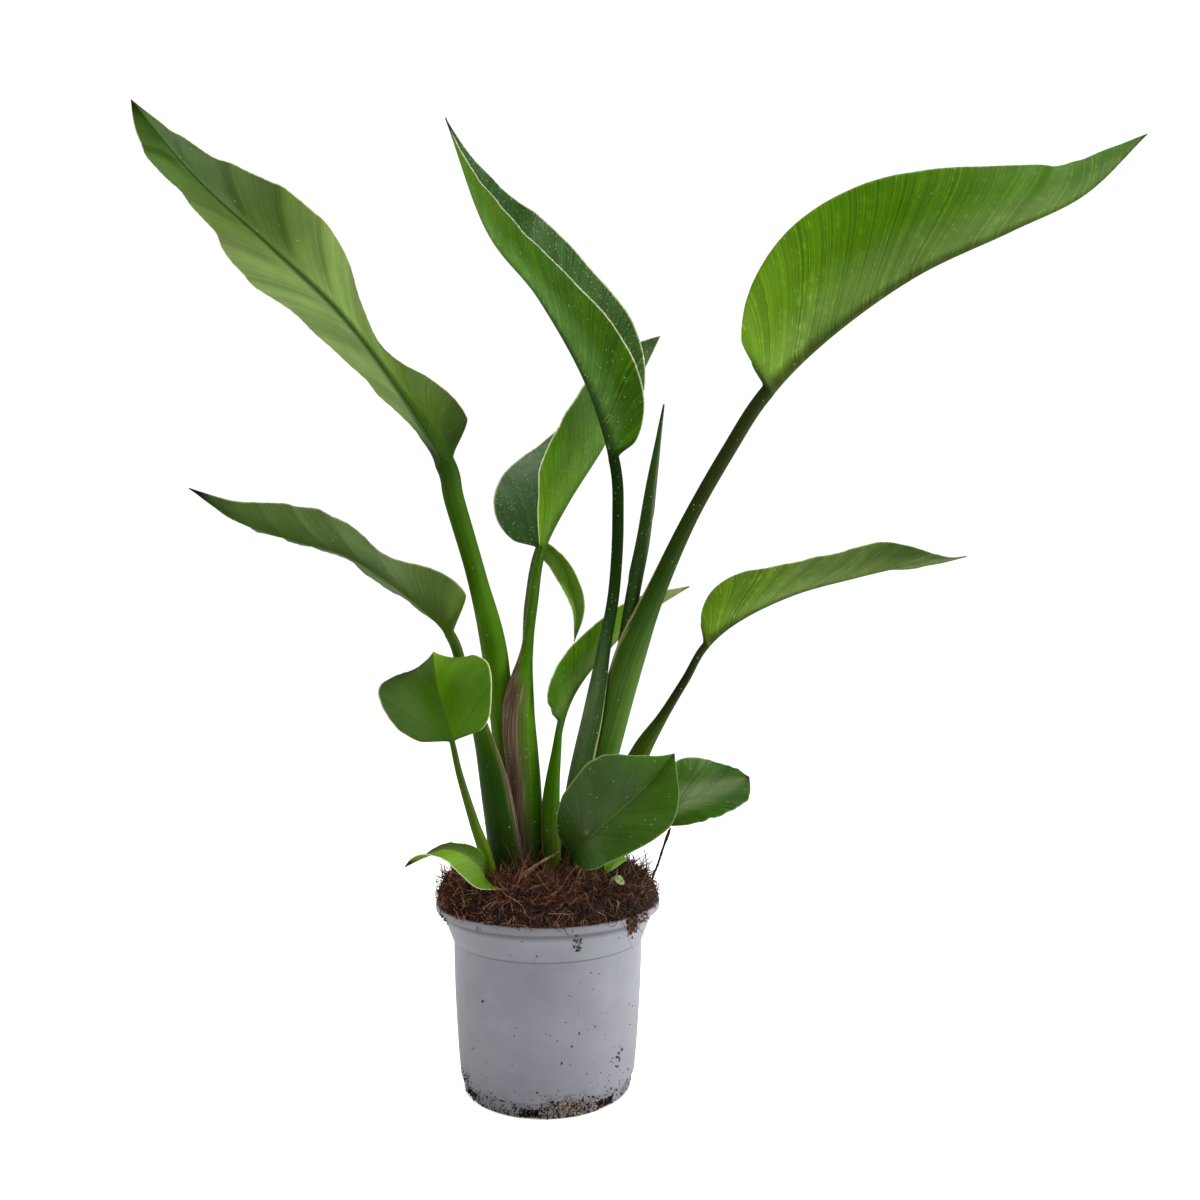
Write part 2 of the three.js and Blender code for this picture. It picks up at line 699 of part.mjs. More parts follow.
const recess = plug(POT.footRadius - POT.footWidth, -1, POT.floorBottom, POT.sides)
  .subtract(plug(POT.bossRadius, -2, POT.floorBottom + 1, POT.bossSides));
let pot = toManifold(turned(outside, POT.sides));
pot = pot.subtract(toManifold(turned(inside, POT.sides))).subtract(recess);
for (let k = 0; k < POT.notches; k += 1) {
  const notch = new THREE.BoxGeometry(2 * POT.notchDepth, POT.notchWidth, 2 * POT.notchHeight);
  notch.translate(POT.footRadius, 0, 0);
  notch.rotateZ(radians(POT.firstNotch + 360 * k / POT.notches));
  pot = pot.subtract(toManifold(notch));
}
for (let k = 0; k < POT.drainHoles; k += 1) {
  const a = radians(POT.firstNotch + 360 * (k + 0.5) / POT.drainHoles);
  const drain = plug(POT.drainHoleRadius, POT.floorBottom - 1, POT.floorTop + 1, POT.drainHoleSides);
  pot = pot.subtract(drain.translate([POT.drainRing * Math.cos(a), POT.drainRing * Math.sin(a), 0]));
}
place('pot', fromManifold(pot), 0x9a99a3, 0.55);

// Soil: fills the pot up to its walls, spills onto the rim and rises to an uneven mound.
const rough = (angle, r, z) => (
  Math.sin(5 * angle + 0.09 * r)
  + 0.7 * Math.sin(11 * angle - 0.13 * z + 1)
  + 0.6 * Math.sin(17 * angle + 0.2 * r + 2)
);
const soilProfile = [
  ...inside.slice(0, 5).map(([r, z]) => [r - GAP, z + GAP, 0]),
  [POT.mouthRadius - GAP, POT.height + GAP, 0],
  ...SOIL.profile.map(([r, z], k) => [r, z, k > 0 ? SOIL.roughness : 0]),
];
const soilRings = soilProfile.map(([r, z, bump]) => Array.from({ length: SOIL.sides }, (_, k) => {
  const a = 2 * Math.PI * k / SOIL.sides;
  const swell = bump * rough(a, r, z) / 2;
  const out = r + Math.min(swell, SOIL.swellOut);
  const [x, y] = [out * Math.cos(a), out * Math.sin(a)];
  const [hx, hy] = SOIL.heap.middle;
  const away = Math.hypot(x - hx, y - hy) / SOIL.heap.spread;
  const heap = bump > 0 ? SOIL.heap.height * Math.exp(-(away ** 2)) : 0;
  return new THREE.Vector3(x, y, z + swell + heap);
}));
let soil = toManifold(skin(
  soilRings,
  new THREE.Vector3(0, 0, POT.floorTop + GAP),
  new THREE.Vector3(0, 0, SOIL.middleHeight),
));

// Hole a stem stands in: along the stem's own line, from its foot up past the mound. The stations
// count spacings of the stem's points.
const HOLE = { sides: 10, stations: [0, 0.6, 1.05, 1.5] };
function stemHole(points, radius, share, foot) {
  const at = (k) => along(points, k / (points.length - 1));
  const wide = (k) => {
    const bark = along(radius, Math.min(k / (points.length - 1) / share, 1));
    return (bark + STEM_CLEARANCE) / Math.cos(Math.PI / HOLE.sides);
  };
  const [low, ...higher] = HOLE.stations.map(at);
  const [next] = higher;
  const drop = (low[2] - foot) / (next[2] - low[2]);
  const start = low.map((c, k) => c - (next[k] - c) * drop);
  const path = [start, ...higher];
  return toManifold(tube(path, HOLE.stations.map(wide), HOLE.sides, path.length - 1));
}
for (const crown of Object.values(CROWNS)) soil = soil.subtract(crownSolid(crown, GAP));
const onCrown = (p) => Object.values(CROWNS).some(({ middle, halfSize }) => (
  Math.hypot((p[0] - middle[0]) / halfSize[0], (p[1] - middle[1]) / halfSize[1]) < CROWN.seat));
const footOf = (p) => (onCrown(p) ? CROWN.top - 1 : p[2] - GAP);
for (const { spine, radius, bladeFrom } of Object.values(LEAVES)) {
  soil = soil.subtract(stemHole(spine, radius, bladeFrom / (spine.length - 1), footOf(spine[0])));
}
for (const { points, radius } of Object.values(STEMS)) {
  soil = soil.subtract(stemHole(points, radius, 1, footOf(points[0])));
}
soil = soil.subtract(toManifold(leafGeometry(LEAVES.leaf_curled_low, GAP)));
const [mound] = soil.decompose().sort((p, q) => q.volume() - p.volume());
place('soil', fromManifold(mound), 0x3d2419, 0.95);

export default group;
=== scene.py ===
"""Potted bird of paradise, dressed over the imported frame.

Every surface is a grid of points worked out with numpy. The leaves use the same formula as the
solids: a cross-section, folded and curled, carried along a smooth spine. Lengths in the tables are
millimetres and angles degrees; the meshes are in metres.
"""
import json
import math
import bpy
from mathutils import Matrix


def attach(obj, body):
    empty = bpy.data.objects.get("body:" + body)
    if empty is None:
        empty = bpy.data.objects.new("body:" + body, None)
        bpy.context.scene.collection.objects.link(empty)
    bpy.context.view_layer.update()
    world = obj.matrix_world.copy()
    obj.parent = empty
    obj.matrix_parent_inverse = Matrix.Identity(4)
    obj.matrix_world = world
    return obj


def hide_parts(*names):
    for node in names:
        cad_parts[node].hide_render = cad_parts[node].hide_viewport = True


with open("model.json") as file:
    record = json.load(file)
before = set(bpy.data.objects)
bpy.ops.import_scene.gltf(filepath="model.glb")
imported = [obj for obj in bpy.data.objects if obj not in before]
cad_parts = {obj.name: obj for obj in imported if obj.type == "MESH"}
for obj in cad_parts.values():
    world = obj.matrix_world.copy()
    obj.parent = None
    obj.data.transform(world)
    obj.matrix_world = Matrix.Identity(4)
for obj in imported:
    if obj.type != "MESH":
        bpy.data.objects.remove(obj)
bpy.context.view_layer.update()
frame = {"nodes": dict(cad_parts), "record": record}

from types import SimpleNamespace

import bpy
import numpy as np

bl_info = {
    "name": "Potted bird of paradise",
    "version": (1, 0, 0),
    "blender": (4, 5, 0),
    "location": "3D View > Sidebar > Plant",
    "description": "Leaves, pot and soil of a potted bird of paradise",
    "category": "Add Mesh",
}

MM = 0.001

# Leaves and stems, in millimetres and degrees, as in the part's solids
LEAVES = {
    "leaf_upper_left": {
        "spine": [[-25, 5, 105], [-30, 5, 165], [-34, 10, 230], [-42, 0, 320], [-54, -20, 380],
                  [-68, -40, 435], [-74, -50, 462], [-103, -70, 510], [-140, -90, 558],
                  [-183, -112, 597], [-226, -130, 635], [-263, -144, 680]],
        "blade_from": 6,
        "face": [[0.6, 0.8, 0], [-0.1, 0.9, 0.4], [-0.2, 1, 0.1]],
        "radius": [6.5, 7, 8, 10, 7.5, 7.5, 7.5],
        "grip": [110, 110, 110, 120, 120, 125, 125],
        "hollow": [0.2, 0.3, 0.4, 0.5, 0.2, 0.15, 0.15],
        "half_width": [50, 60], "widest": 0.4, "taper": 1.8, "shoulder": 0.4,
        "fold_left": [20, 80, 30, 40, 55], "fold_right": [70, 60, 55, 65, 5],
        "curl": [10, 10], "slant": [0.3, 0.9],
    },
    "leaf_left": {
        "spine": [[-28, -10, 110], [-30, -12, 165], [-38, -15, 220], [-50, -17, 265], [-62, -20, 300],
                  [-73, -26, 337], [-105, -36, 368], [-144, -46, 394], [-182, -56, 405],
                  [-218, -64, 417], [-252, -70, 440]],
        "blade_from": 5,
        "face": [[0.6, 0.8, 0], [0.5, 0.7, 0.5], [0.4, 0.5, 0.8]],
        "radius": [15, 14, 12.5, 7, 4.5, 4],
        "grip": [100, 100, 95, 105, 120, 125],
        "hollow": [0.9, 0.9, 0.85, 0.4, 0.15, 0.15],
        "half_width": [40, 42], "widest": 0.3, "taper": 1.5, "shoulder": 0.4,
        "fold_left": [45, -10, 15, 40, 40], "fold_right": [35, 30, 35, 30, 15],
        "curl": [-10, -5], "slant": [0.3, 0.2],
    },
    "leaf_middle": {
        "spine": [[-14, -4, 110], [-15, -4, 165], [-18, -4, 218], [-24, -3, 280], [-19, 2, 325],
                  [-15, 6, 364], [-8, 12, 405], [12, 24, 446], [40, 38, 492], [66, 52, 542],
                  [91, 66, 595]],
        "blade_from": 6,
        "face": [[-0.3, 0.95, 0], [-0.6, 0.8, -0.1], [-0.9, -0.4, 0.2], [-0.8, -0.3, 0.6], [-0.9, 0, 0.4]],
        "radius": [11, 11.5, 12.5, 13, 6.5, 6, 5],
        "grip": [105, 105, 105, 105, 115, 120, 125],
        "hollow": [0.9, 0.9, 0.9, 0.9, 0.3, 0.15, 0.15],
        "half_width": [58, 55], "widest": 0.3, "taper": 2.4, "shoulder": 1.3,
        "fold_left": [70, 60, 40, 50, 50], "fold_right": [25, 45, 55, 55, 55],
        "curl": [0, 0], "slant": [-0.4, 0.5],
    },
    "leaf_upper_middle": {
        "spine": [[13, 4, 105], [19, 4, 163], [24, 4, 217], [36, 5, 275], [43, 6, 325], [51, 6, 372],
                  [54, 2, 427], [51, -4, 474], [30, -18, 533], [-6, -34, 592], [-44, -48, 637],
                  [-74, -60, 716]],
        "blade_from": 7,
        "face": [[0.5, 0.9, 0], [0.8, 0.6, -0.2], [0.9, 0.4, 0], [0.9, 0, 0.5], [0.9, 0, 0.4]],
        "radius": [12, 11.5, 11, 10, 6, 5, 5, 5],
        "grip": [90, 90, 90, 90, 110, 120, 125, 125],
        "hollow": [0.9, 0.9, 0.85, 0.7, 0.2, 0.15, 0.15, 0.15],
        "half_width": [50, 55], "widest": 0.35, "taper": 1.9, "shoulder": 1.2,
        "fold_left": [70, 45, 25, 30, 0], "fold_right": [45, 75, 60, 75, 25],
        "curl": [-5, 5], "slant": [0, 0.4],
    },
    "leaf_upper_right": {
        "spine": [[22, 10, 105], [28, 10, 162], [36, 10, 216], [49, 10, 270], [64, 8, 325], [83, 4, 372],
                  [108, -4, 426], [137, -14, 478], [166, -25, 522], [211, -40, 563], [272, -52, 603],
                  [338, -62, 631], [389, -70, 654], [432, -76, 695]],
        "blade_from": 8,
        "face": [[-0.3, 0.95, 0], [-0.3, 0.9, 0.1], [-0.8, 0.2, 0.5], [-0.5, 0.2, 0.8], [-0.4, 0.7, 0.6]],
        "radius": [10, 11, 11.5, 12, 12.5, 8.5, 6.5, 6.5, 6.5],
        "grip": [100, 100, 100, 100, 100, 115, 125, 125, 125],
        "hollow": [0.9, 0.9, 0.9, 0.9, 0.9, 0.5, 0.15, 0.15, 0.15],
        "half_width": [65, 78], "widest": 0.25, "taper": 2, "shoulder": 0.6,
        "fold_left": [45, 45, 45], "fold_right": [25, 60, 85, 90, 80],
        "curl": [0, 10], "slant": [0, 0.6],
    },
    "leaf_right": {
        "spine": [[40, 18, 102], [44, 20, 160], [55, 24, 206], [72, 28, 244], [90, 31, 272],
                  [108, 34, 301], [125, 38, 329], [155, 44, 352], [202, 52, 373], [255, 60, 387],
                  [305, 66, 398], [353, 70, 405]],
        "blade_from": 6,
        "face": [[-0.4, 0.9, 0], [-0.5, 0.9, 0.1], [-0.9, 0.1, 0.5], [-0.3, -0.1, 1], [-0.2, 0.2, 1]],
        "radius": [8, 7.5, 9, 8, 4.5, 4, 4],
        "grip": [100, 100, 100, 105, 120, 125, 125],
        "hollow": [0.9, 0.9, 0.8, 0.4, 0.15, 0.15, 0.15],
        "half_width": [40, 44], "widest": 0.25, "taper": 2.8, "shoulder": 1.2,
        "fold_left": [55, 45, 30, 5, -10], "fold_right": [80, 45, 35, 40, -20],
        "curl": [-5, 0], "slant": [0.4, -0.5],
    },
    "leaf_inner_small": {
        "spine": [[1, -14, 112], [3, -14, 160], [2, -14, 205], [6, -10, 249], [9, -6, 270],
                  [20, 8, 295], [41, 28, 321], [73, 46, 352], [115, 62, 379]],
        "blade_from": 4,
        "face": [[-0.3, 0.95, 0], [-0.5, 0.8, 0], [-0.9, -0.1, 0.3], [-0.7, 0, 0.7], [-0.6, 0, 0.8]],
        "radius": [7, 7, 7, 4, 3.5],
        "grip": [110, 110, 115, 120, 125],
        "hollow": [0.6, 0.7, 0.7, 0.2, 0.15],
        "half_width": [27, 28], "widest": 0.4, "taper": 2.8, "shoulder": 0.6,
        "fold_left": [20, 45, 45], "fold_right": [65, 50, 35],
        "curl": [0, 0], "slant": [0.3, 0],
    },
    "leaf_drooping": {
        "spine": [[-18, 22, 101], [-20, 23, 167], [-21, 24, 238], [-20, 24, 309], [-16, 25, 365],
                  [-8, 26, 408], [6, 27, 400], [14, 28, 381], [20, 28, 357], [19, 26, 332]],
        "blade_from": 5,
        "face": [[-0.8, -0.6, 0], [-0.3, -1, 0.1], [0.9, -0.4, 0]],
        "radius": [4.5, 4, 3.5, 3, 2.5, 2],
        "grip": [115, 120, 125, 125, 125, 125],
        "hollow": [0.3, 0.2, 0.15, 0.15, 0.15, 0.15],
        "half_width": [12, 15], "widest": 0.4, "taper": 1.6, "shoulder": 0.8,
        "fold_left": [85, 70, 35], "fold_right": [30, 35, 10],
        "curl": [0, 0], "slant": [-0.2, 0.5],
    },
    "leaf_round_left": {
        "spine": [[-36, -30, 116], [-42, -33, 166], [-52, -41, 200], [-62, -46, 235], [-67, -50, 259],
                  [-72, -54, 278], [-77, -56, 297], [-80, -52, 312], [-82, -44, 324]],
        "blade_from": 4,
        "face": [[0, 1, 0], [0.1, 1, 0.2], [0.2, 0.8, -0.5]],
        "radius": [5.5, 5, 3.5, 2.5, 2],
        "grip": [115, 120, 125, 125, 125],
        "hollow": [0.3, 0.2, 0.15, 0.15, 0.15],
        "half_width": [40, 46], "widest": 0.5, "taper": 1.9, "shoulder": 0.6,
        "fold_left": [15, 0, 25, 25, 65], "fold_right": [15, 10, 10, 30, 50],
        "curl": [-5, -5], "slant": [0, 0.4],
    },
    "leaf_round_front": {
        "spine": [[22, -13, 111], [22, -18, 153], [20, -31, 173], [32, -58, 192], [50, -68, 210],
                  [71, -76, 231], [91, -78, 254]],
        "blade_from": 2,
        "face": [[-0.1, -1, -0.1], [-0.7, -0.7, -0.1], [-0.2, -1, 0.1]],
        "radius": [5, 4, 3.5],
        "grip": [115, 120, 125],
        "hollow": [0.3, 0.2, 0.15],
        "half_width": [43, 32], "widest": 0.65, "taper": 1.8, "shoulder": 0.9,
        "fold_left": [25, 40, 65], "fold_right": [40, 10, 20],
        "curl": [0, -10], "slant": [0.7, 0],
    },
    "leaf_round_right": {
        "spine": [[41, -16, 112], [46, -15, 153], [56, -13, 178], [74, -12, 195], [97, -12, 207],
                  [115, -14, 214], [134, -16, 222], [152, -18, 230]],
        "blade_from": 3,
        "face": [[-0.5, -0.9, 0.1], [-0.3, -0.7, 0.6], [-0.4, -0.5, 0.8]],
        "radius": [5, 4, 3.5, 3],
        "grip": [115, 120, 125, 125],
        "hollow": [0.3, 0.2, 0.15, 0.15],
        "half_width": [33, 38], "widest": 0.4, "taper": 2.6, "shoulder": 0.7,
        "fold_left": [60, 0, -20], "fold_right": [25, 25, 5],
        "curl": [-5, -5], "slant": [0.6, 0.4],
    },
    "leaf_curled_low": {
        "spine": [[-37, -50, 122], [-39, -51, 151], [-46, -56, 172], [-58, -60, 182], [-70, -63, 185],
                  [-83, -65, 181], [-97, -66, 174]],
        "blade_from": 1,
        "face": [[-0.8, 0.6, 0], [0.5, -0.3, 0.8], [-0.4, 0.1, 0.9]],
        "radius": [5, 4.5],
        "grip": [115, 120],
        "hollow": [0.3, 0.2],
        "half_width": [18, 16], "widest": 0.3, "taper": 1.8, "shoulder": 0.8,
        "fold_left": [-40, 0, 65], "fold_right": [40, -10, 10],
        "curl": [-5, -10], "slant": [-0.3, 0.5],
    },
    "sprout_yellow": {
        "spine": [[42, -34, 122], [42, -34, 154], [44, -35, 163], [50, -36, 169], [60, -37, 174]],
        "blade_from": 2,
        "face": [[0.3, -0.9, 0.2], [-0.4, -0.7, 0.6], [-0.3, -0.7, 0.7]],
        "radius": [1.8, 1.8, 1.4],
        "grip": [120, 120, 120],
        "hollow": [0.1, 0.1, 0.1],
        "half_width": [4.5, 5], "widest": 0.45, "taper": 1.7, "shoulder": 0.9,
        "fold_left": [30, 30], "fold_right": [20, 20],
        "curl": [0, 0], "slant": [0, 0.3],
    },
    "sprout_pale": {
        "spine": [[47, -46, 122], [47, -46, 154], [50, -46, 161], [57, -47, 157]],
        "blade_from": 2,
        "face": [[0.3, -0.9, 0.2], [0.2, -0.7, 0.6], [0.3, -0.8, 0.6]],
        "radius": [1.5, 1.5, 1.2],
        "grip": [120, 120, 120],
        "hollow": [0.1, 0.1, 0.1],
        "half_width": [3.2, 3.2], "widest": 0.45, "taper": 1.7, "shoulder": 0.9,
        "fold_left": [20, 20], "fold_right": [20, 20],
        "curl": [0, 0], "slant": [0, 0.3],
    },
}
STEMS = {
    "spear": {
        "points": [[21, 11, 104], [29, 11, 161], [39, 11, 216], [49, 11, 270], [58, 10, 325],
                   [66, 10, 373], [74, 12, 413], [81, 14, 461], [91, 18, 523]],
        "radius": [3.5, 3.6, 4, 4.6, 5.2, 5.6, 5.4, 4, 0.7],
    },
    "dry_twig": {
        "points": [[-17, -46, 143], [-15, -46, 156], [-14, -46, 163], [-5, -45, 171], [11, -43, 180]],
        "radius": [2.4, 3.2, 2.6, 1.1, 0.8],
    },
    "dry_stalk": {
        "points": [[77, -12, 130], [79, -12, 152], [83, -12, 163], [88, -12, 178], [91, -12, 186],
                   [93, -12, 191]],
        "radius": [0.9, 0.9, 0.9, 1, 1.3, 0.5],
    },
}

# Colours by name, as sRGB hex
COLOURS = {
    "deep": "1c3604", "bottle": "2c4e06", "fern": "406c04", "leaf": "508202", "grass": "6a960e",
    "lime": "7eae28", "spring": "b4d848", "olive": "445e12", "moss": "56741c", "jade": "3e6822",
    "pine": "244e18", "mist": "84b862", "sage": "84a054", "silver": "a4b480", "cream": "eaf2c4",
    "straw": "c0b47c", "tan": "a08850", "plum": "6c5244", "bark": "2c380e", "black": "12120a",
    "scorch": "4a2f1a", "paper": "c8bd98", "peat": "140d0a", "umber": "2a1812", "coir": "4a2a20",
    "rust": "6a3c2c", "clay": "82503a", "husk": "a07050", "chaff": "c0a07c", "stone": "a4968c",
}

# Colours along each leaf, from its base to its tip: the stalk, the back of the blade ("under") and its
# face ("upper"), with a second text for the right half where it differs. The wax colours are the pale
# bloom and the painted sheen of back and face, the bloom shares how much of it lies at the rib and at
# the margin, first left, then right half where it differs. "tip" starts at a share of the blade.
# "papery" is the share of the half sheath, left and right, where its dry zone starts, coloured "edge".
# The frost share is how much silver bloom and painted sheen lies half way up the sheath, "spot" the
# place of a tan mark: share of the blade, millimetres to the right of the rib.
PAINT = {
    "leaf_upper_left": {
        "stalk": "bark moss leaf fern bottle",
        "under": ("deep moss sage olive bottle bottle", "bottle sage sage sage moss fern bottle"),
        "upper": ("fern fern",), "wax_and_sheen": "sage mist", "bloom_and_sheen": ((0.2, 0.15), (0.15, 0.35)),
        "margin": "cream", "tip": ("bark", 0.95), "edge": "tan", "papery": (0.8, 0.45),
    },
    "leaf_left": {
        "stalk": "bark bottle bottle moss olive", "under": ("olive deep bottle deep", "bottle deep deep"),
        "upper": ("bottle bottle",), "wax_and_sheen": "sage stone", "bloom_and_sheen": ((0.25, 0.45), (0.15, 0.3)),
        "margin": "silver", "tip": ("black", 0.9), "edge": "plum", "papery": (0.6, 0.9),
    },
    "leaf_middle": {
        "stalk": "plum fern leaf fern fern", "under": ("fern fern", "grass leaf fern deep"),
        "upper": ("jade pine", "fern bottle"), "wax_and_sheen": "sage sage", "bloom_and_sheen": ((0.12, 0), (0.2, 0)),
        "margin": "cream", "tip": ("moss", 0.97), "edge": "plum", "papery": (0.6, -0.2),
    },
    "leaf_upper_middle": {
        "stalk": "black pine pine deep deep", "under": ("fern fern leaf grass",), "frost_and_sheen": 0.55,
        "upper": ("jade jade pine",), "wax_and_sheen": "mist mist", "bloom_and_sheen": ((0.4, 0), (0.08, 0.06)),
        "margin": "cream", "tip": ("black", 0.93), "edge": "straw", "papery": (0.85, 0.85),
    },
    "leaf_upper_right": {
        "stalk": "bark fern fern bottle bark bark", "under": ("grass leaf leaf fern",), "frost_and_sheen": 0.15,
        "upper": ("bottle bottle",), "wax_and_sheen": "sage mist", "bloom_and_sheen": ((0.6, 0),),
        "margin": "grass", "tip": ("bottle", 0.97), "edge": "straw", "papery": (0.85, 0.6),
    },
    "leaf_right": {
        "stalk": "moss moss olive bark bark", "under": ("olive olive", "grass olive bottle"),
        "upper": ("bottle bottle",), "wax_and_sheen": "sage silver", "bloom_and_sheen": ((0.2, 0.1), (0.35, 0.05)),
        "margin": "sage", "tip": ("bark", 0.95), "edge": "tan", "papery": (0.5, 0.5),
    },
    "leaf_inner_small": {
        "stalk": "bark moss fern fern jade", "under": ("fern leaf grass silver",), "upper": ("fern fern",),
        "wax_and_sheen": "sage sage", "bloom_and_sheen": ((0.5, 0),),
        "margin": "cream", "tip": ("moss", 0.96), "edge": "paper", "papery": (0.8, 0.7),
    },
    "leaf_drooping": {
        "stalk": "olive fern lime", "under": ("grass moss",), "upper": ("grass grass", "lime lime"),
        "wax_and_sheen": "silver silver", "bloom_and_sheen": ((0.1, 0.1),),
        "margin": "cream", "tip": ("sage", 0.97), "edge": "straw", "papery": (0.9, 0.9),
    },
    "leaf_round_left": {
        "stalk": "moss grass moss olive olive", "under": ("leaf leaf lime", "fern fern moss"),
        "upper": ("fern fern",), "wax_and_sheen": "silver mist", "bloom_and_sheen": ((0, 0.05), (0, 0.15)),
        "margin": "cream", "tip": ("silver", 0.97), "edge": "sage", "papery": (0.9, 0.9),
    },
    "leaf_round_front": {
        "stalk": "olive sage moss", "under": ("fern fern",),
        "upper": ("deep bottle bottle fern", "bottle fern fern"),
        "wax_and_sheen": "sage sage", "bloom_and_sheen": ((0.15, 0.05), (0.1, 0)), "spot": (0.26, -4.5),
        "margin": "sage", "tip": ("black", 0.975), "edge": "moss", "papery": (0.9, 0.9),
    },
    "leaf_round_right": {
        "stalk": "bark bottle fern", "under": ("fern fern",), "upper": ("bottle fern jade fern",),
        "wax_and_sheen": "mist silver", "bloom_and_sheen": ((0.55, 0),),
        "margin": "silver", "tip": ("scorch", 0.93), "edge": "moss", "papery": (0.9, 0.9),
    },
    "leaf_curled_low": {
        "stalk": "moss grass", "under": ("grass lime moss",),
        "upper": ("grass lime olive", "leaf olive olive"), "wax_and_sheen": "sage sage", "bloom_and_sheen": ((0.15, 0),),
        "margin": "cream", "tip": ("black", 0.86), "edge": "sage", "papery": (0.9, 0.9),
    },
    "sprout_yellow": {
        "stalk": "grass lime", "under": ("lime lime",), "upper": ("lime lime",),
        "wax_and_sheen": "silver silver", "bloom_and_sheen": ((0, 0.2),),
        "margin": "silver", "tip": ("moss", 0.97), "edge": "straw", "papery": (0.9, 0.9),
    },
    "sprout_pale": {
        "stalk": "silver silver", "under": ("silver sage",), "upper": ("silver mist",),
        "wax_and_sheen": "cream cream", "bloom_and_sheen": ((0, 0.2),),
        "margin": "cream", "tip": ("sage", 0.97), "edge": "cream", "papery": (0.9, 0.9),
    },
}

# How strongly dew lies on a leaf, how strongly its veins show, how deep its pleats are, and how many
# points its mesh has: columns to a half, rows up the stalk, rows up the blade.
DETAIL = {
    "leaf_upper_left": {"dew": 0.05, "veins": 0.5, "pleat": 0.9, "grid": (20, 90, 170)},
    "leaf_left": {"dew": 0.08, "veins": 0.5, "pleat": 0.8, "grid": (18, 60, 150)},
    "leaf_middle": {"dew": 0.8, "veins": 0.9, "pleat": 0.35, "grid": (20, 80, 150)},
    "leaf_upper_middle": {"dew": 0.7, "veins": 1, "pleat": 0.3, "grid": (20, 90, 160)},
    "leaf_upper_right": {"dew": 0.1, "veins": 1, "pleat": 0.35, "grid": (22, 90, 180)},
    "leaf_right": {"dew": 0.1, "veins": 1, "pleat": 0.5, "grid": (18, 60, 140)},
    "leaf_inner_small": {"dew": 0.15, "veins": 0.7, "pleat": 0.35, "grid": (16, 50, 90)},
    "leaf_drooping": {"dew": 0.03, "veins": 0.6, "pleat": 0.2, "grid": (12, 60, 80)},
    "leaf_round_left": {"dew": 0.03, "veins": 0.35, "pleat": 0.22, "grid": (20, 40, 90)},
    "leaf_round_front": {"dew": 0.1, "veins": 0.4, "pleat": 0.25, "grid": (20, 24, 90)},
    "leaf_round_right": {"dew": 0.1, "veins": 0.7, "pleat": 0.55, "grid": (18, 24, 80)},
    "leaf_curled_low": {"dew": 0.05, "veins": 0.4, "pleat": 0.3, "grid": (16, 14, 80)},
    "sprout_yellow": {"dew": 0, "veins": 0.3, "pleat": 0.0, "grid": (8, 16, 24)},
    "sprout_pale": {"dew": 0, "veins": 0.3, "pleat": 0.0, "grid": (8, 16, 20)},
}

# Leaf meshes, in millimetres unless they are shares: the last row's share of the blade, the share over
# which the stalk opens into the blade, the midrib's radius at the tip, the blade's thickness at the
# midrib and at the margin, how far the margin is rounded out, the depth of the fine pleats and of the
# ripple, and the heights between which painted shade darkens a stalk towards the soil.
LAST_ROW = 0.9995
OPENING = 0.035
RIB_AT_TIP = 0.5
THICKNESS = (1.2, 0.5)
ROUNDING = 0.25
FINE_PLEAT = 0.12
RIPPLE = 0.5
SOIL_SHADE_HEIGHTS = (225, 150)
# Turns that the rolled edge makes up the spear
ROLL_TURNS = 3.2

# Linear colours of the materials, and how much brighter a pale line is than the blade round it
WHITE = (1, 1, 1, 1)
DEW_GLINT = (0.4, 0.5, 0.38, 1)
DRY_DUST = (0.2, 0.17, 0.15, 1)
WET_DUST = (0.045, 0.026, 0.018, 1)
ROOT_DARK = (0.16, 0.08, 0.04, 1)
ROOT_PALE = (0.5, 0.33, 0.18, 1)
PALE_LINE = (2.4, 1.9, 2.6)

# Pot: radius and height of its turned outline, first its wall and inside, then its underside
POT = {
    "outside": [
        (57.2, 0.0), (61.9, 0.0), (62.4, 0.3), (62.5, 0.8), (62.5, 10.4), (62.9, 10.9), (64.9, 11.0),
        (65.4, 11.5), (66.3, 20.0), (67.6, 34.0), (68.9, 52.0), (70.0, 70.0), (70.8, 90.0), (71.3, 108.6),
        (71.5, 109.3), (72.4, 109.8), (72.6, 110.6), (73.6, 113.0), (74.8, 116.0), (76.0, 119.0),
        (77.2, 122.0), (78.7, 125.0), (79.9, 127.4), (80.6, 128.3), (80.9, 129.4), (81.1, 130.9),
        (82.6, 131.3), (84.4, 131.5), (84.9, 131.9), (85.0, 132.6), (85.0, 135.6), (84.8, 136.2),
        (84.2, 136.5), (82.1, 136.5), (81.7, 136.3), (81.5, 135.8), (81.5, 132.5), (77.0, 124.0),
        (70.7, 111.0), (68.2, 70.0), (62.7, 12.0), (61.0, 11.5),
    ],
    "under": [(0.0, 0.0), (14.4, 0.0), (15.0, 0.5), (15.0, 8.0), (15.6, 8.5), (56.4, 8.5), (57.0, 8.0),
              (57.0, 0.4)],
    "foot_inside": 56.0, "foot_radius": 62.5,
    # Notches in the foot: width and height, degrees of the first, degrees that a side leans
    "notches": 7, "notch_width": 17.0, "notch_height": 6.5, "first_notch": -98.0, "notch_lean": 0.25,
}
# Places in the outline of the wall's points, from the foot to the lip
WALL = slice(3, 30)
# Painted shade in the creases round the pot: height and reach in metres, and the share of light in the middle
SHADED_CREASES = [(0.1292, 0.0045, 0.5), (0.1094, 0.0011, 0.45), (0.0107, 0.0013, 0.5)]

